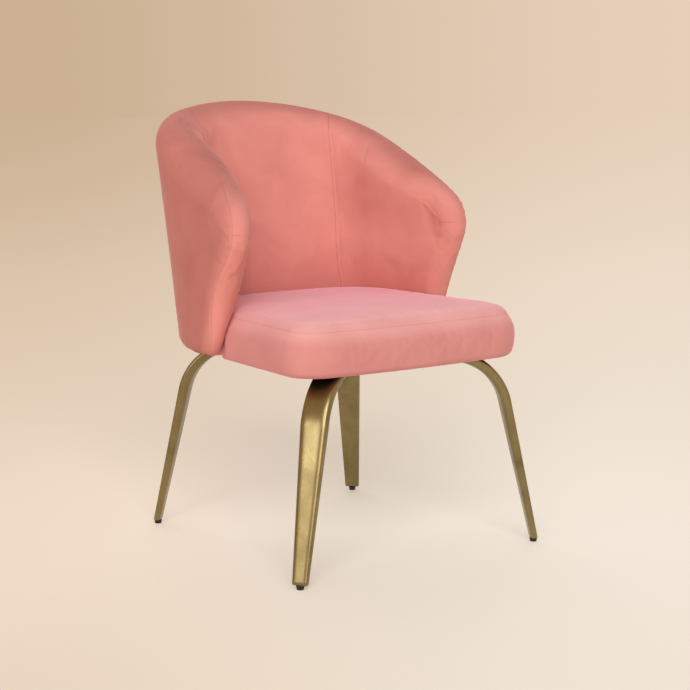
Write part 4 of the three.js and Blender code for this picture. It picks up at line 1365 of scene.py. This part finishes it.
@dataclass
class Studio:
    """Plain warm floor, soft light and the camera."""

    camera_place: Triple = (-1.863, -2.6236, 0.848)
    camera_turn: Triple = (81.39, 0.0, -36.14)
    camera_sight: float = 200.0
    lens: float = 88.696
    sensor: float = 36.0
    floor_size: float = 40.0
    floor_roughness: float = 0.95
    across: Triple = (0.8076, -0.5898, 0.0)
    side_reach: float = 0.22
    fade_start: float = 1.2
    fade_end: float = 5.0
    fan_place: Triple = (-1.863, -2.6236, 0.0)
    depth_scale: float = 3.4
    depth_power: float = 1.5
    # Painted light on floor and backdrop: darker far off, lighter on the right; part of the floor
    # glows even near the chair
    far: tuple[str, str] = ("cbb092", "e6d0ba")
    near: tuple[str, str] = ("ffeedc", "fff8ec")
    near_painted_glow: float = 0.34
    air_colour: Triple = (1.0, 0.96, 0.92)
    ambient: float = 0.68
    ambient_above: float = 0.24
    lamps: tuple[Lamp, ...] = (
        Lamp("key_light", (60.0, 0.0, -36.0), 2.3, 45.0),
        Lamp("fill_light", (78.0, 0.0, -84.0), 0.32, 17.0),
        Lamp("back_light", (52.0, 0.0, 156.0), 0.8, 60.0),
    )

    def build(self) -> None:
        """Builds the floor, the world, the lights and the camera."""
        self._floor()
        self._world()
        for lamp in self.lamps:
            lamp.hang()
        scene = bpy.context.scene
        camera = in_scene("camera", bpy.data.cameras.new("camera"))
        camera.location = self.camera_place
        camera.rotation_euler = [math.radians(turn) for turn in self.camera_turn]
        camera.data.sensor_width = self.sensor
        camera.data.lens = self.lens
        camera.data.clip_end = self.camera_sight
        scene.camera = camera
        scene.view_settings.view_transform = "Standard"
        LOG.info("studio ready")

    def _painted_side_light(self, tree: Tree, aim: Socket, colours: tuple[str, str]) -> Socket:
        """Colour that changes from one side of the studio to the other: painted light, lighter on
        the right.

        Args:
            tree: node tree that takes the nodes.
            aim: direction in which a point lies.
            colours: colour on the left and on the right.

        Returns:
            The colour's socket.
        """
        across = add(tree, "VectorMath", {0: aim, 1: self.across}, operation="DOT_PRODUCT")
        share = add(tree, "MapRange", {
            "Value": across.outputs["Value"], "From Min": -self.side_reach,
            "From Max": self.side_reach}, interpolation_type="SMOOTHSTEP")
        left, right = colours
        return add(tree, "Mix", {0: share.outputs["Result"], 6: rgba(left), 7: rgba(right)},
                   data_type="RGBA").outputs[2]

    def _floor(self) -> None:
        """A wide floor that catches the shadow and fades into the backdrop, with painted light:
        darker far off, lighter on the right, and partly glowing even near the chair.
        """
        bm = bmesh.new()
        bmesh.ops.create_grid(bm, x_segments=2, y_segments=2, size=self.floor_size)
        floor = new_object("floor", bm)
        material = bpy.data.materials.new("floor_paint")
        material.use_nodes = True
        tree = material.node_tree
        place = add(tree, "TexCoord").outputs["Object"]
        away = add(tree, "VectorMath", {0: place}, operation="LENGTH").outputs["Value"]
        beyond = add(tree, "Math", {0: away, 1: self.depth_scale})
        near = add(tree, "Math", {0: self.depth_scale, 1: beyond.outputs[0]},
                   operation="DIVIDE")
        eased = add(tree, "Math", {0: near.outputs[0], 1: self.depth_power}, operation="POWER")
        start = add(tree, "VectorMath", {0: place, 1: self.fan_place}, operation="SUBTRACT")
        aim = add(tree, "VectorMath", {0: start.outputs[0]}, operation="NORMALIZE").outputs[0]
        # Painted light: darker further off and lighter on the right
        colour = add(tree, "Mix", {
            0: eased.outputs[0], 6: self._painted_side_light(tree, aim, self.far),
            7: self._painted_side_light(tree, aim, self.near)}, data_type="RGBA").outputs[2]
        shader = tree.nodes["Principled BSDF"]
        feed(shader, {"Base Color": colour, "Roughness": self.floor_roughness,
                      "Specular IOR Level": 0.0})
        # Painted glow: the floor's own colour shining, partly near the chair and fully far off
        painted_glow = add(tree, "Emission", {"Color": colour})
        far = add(tree, "MapRange", {
            "Value": away, "From Min": self.fade_start, "From Max": self.fade_end,
            "To Min": self.near_painted_glow}, interpolation_type="SMOOTHSTEP")
        blend = add(tree, "MixShader", {
            0: far.outputs["Result"], 1: shader.outputs[0], 2: painted_glow.outputs[0]})
        feed(tree.nodes["Material Output"], {"Surface": blend.outputs[0]})
        dress(floor, material)

    def _world(self) -> None:
        """Even light, with a pale backdrop for the camera and for reflections, painted lighter on
        the right.
        """
        world = bpy.data.worlds.new("studio_air")
        bpy.context.scene.world = world
        world.use_nodes = True
        tree = world.node_tree
        tree.nodes.clear()
        aim = add(tree, "TexCoord").outputs["Generated"]
        # Backdrop for the camera and reflections, with painted light lighter on the right
        seen = add(tree, "Background", {"Color": self._painted_side_light(tree, aim, self.far)})
        height = add(tree, "SeparateXYZ", {0: aim})
        level = add(tree, "MapRange", {
            "Value": height.outputs["Z"], "To Min": self.ambient,
            "To Max": self.ambient_above})
        air = add(tree, "Background", {
            "Color": (*self.air_colour, 1), "Strength": level.outputs["Result"]})
        rays = add(tree, "LightPath").outputs
        direct = rays["Is Camera Ray"]
        for name in ("Is Glossy Ray", "Is Transmission Ray"):
            direct = add(tree, "Math", {0: direct, 1: rays[name]}, use_clamp=True).outputs[0]
        blend = add(tree, "MixShader", {0: direct, 1: air.outputs[0], 2: seen.outputs[0]})
        add(tree, "OutputWorld", {"Surface": blend.outputs[0]})


def main() -> None:
    """Builds the studio, then the chair piece by piece."""
    logging.basicConfig(level=logging.INFO, format="%(message)s")
    Studio().build()
    legs = LegSet()
    legs.build()
    GlideSet(legs).build()
    ShellUpholstery(ShellForm()).build()
    SeatUpholstery().build()
    HiddenWorks().build(frame["nodes"])


if __name__ == "__main__":
    main()
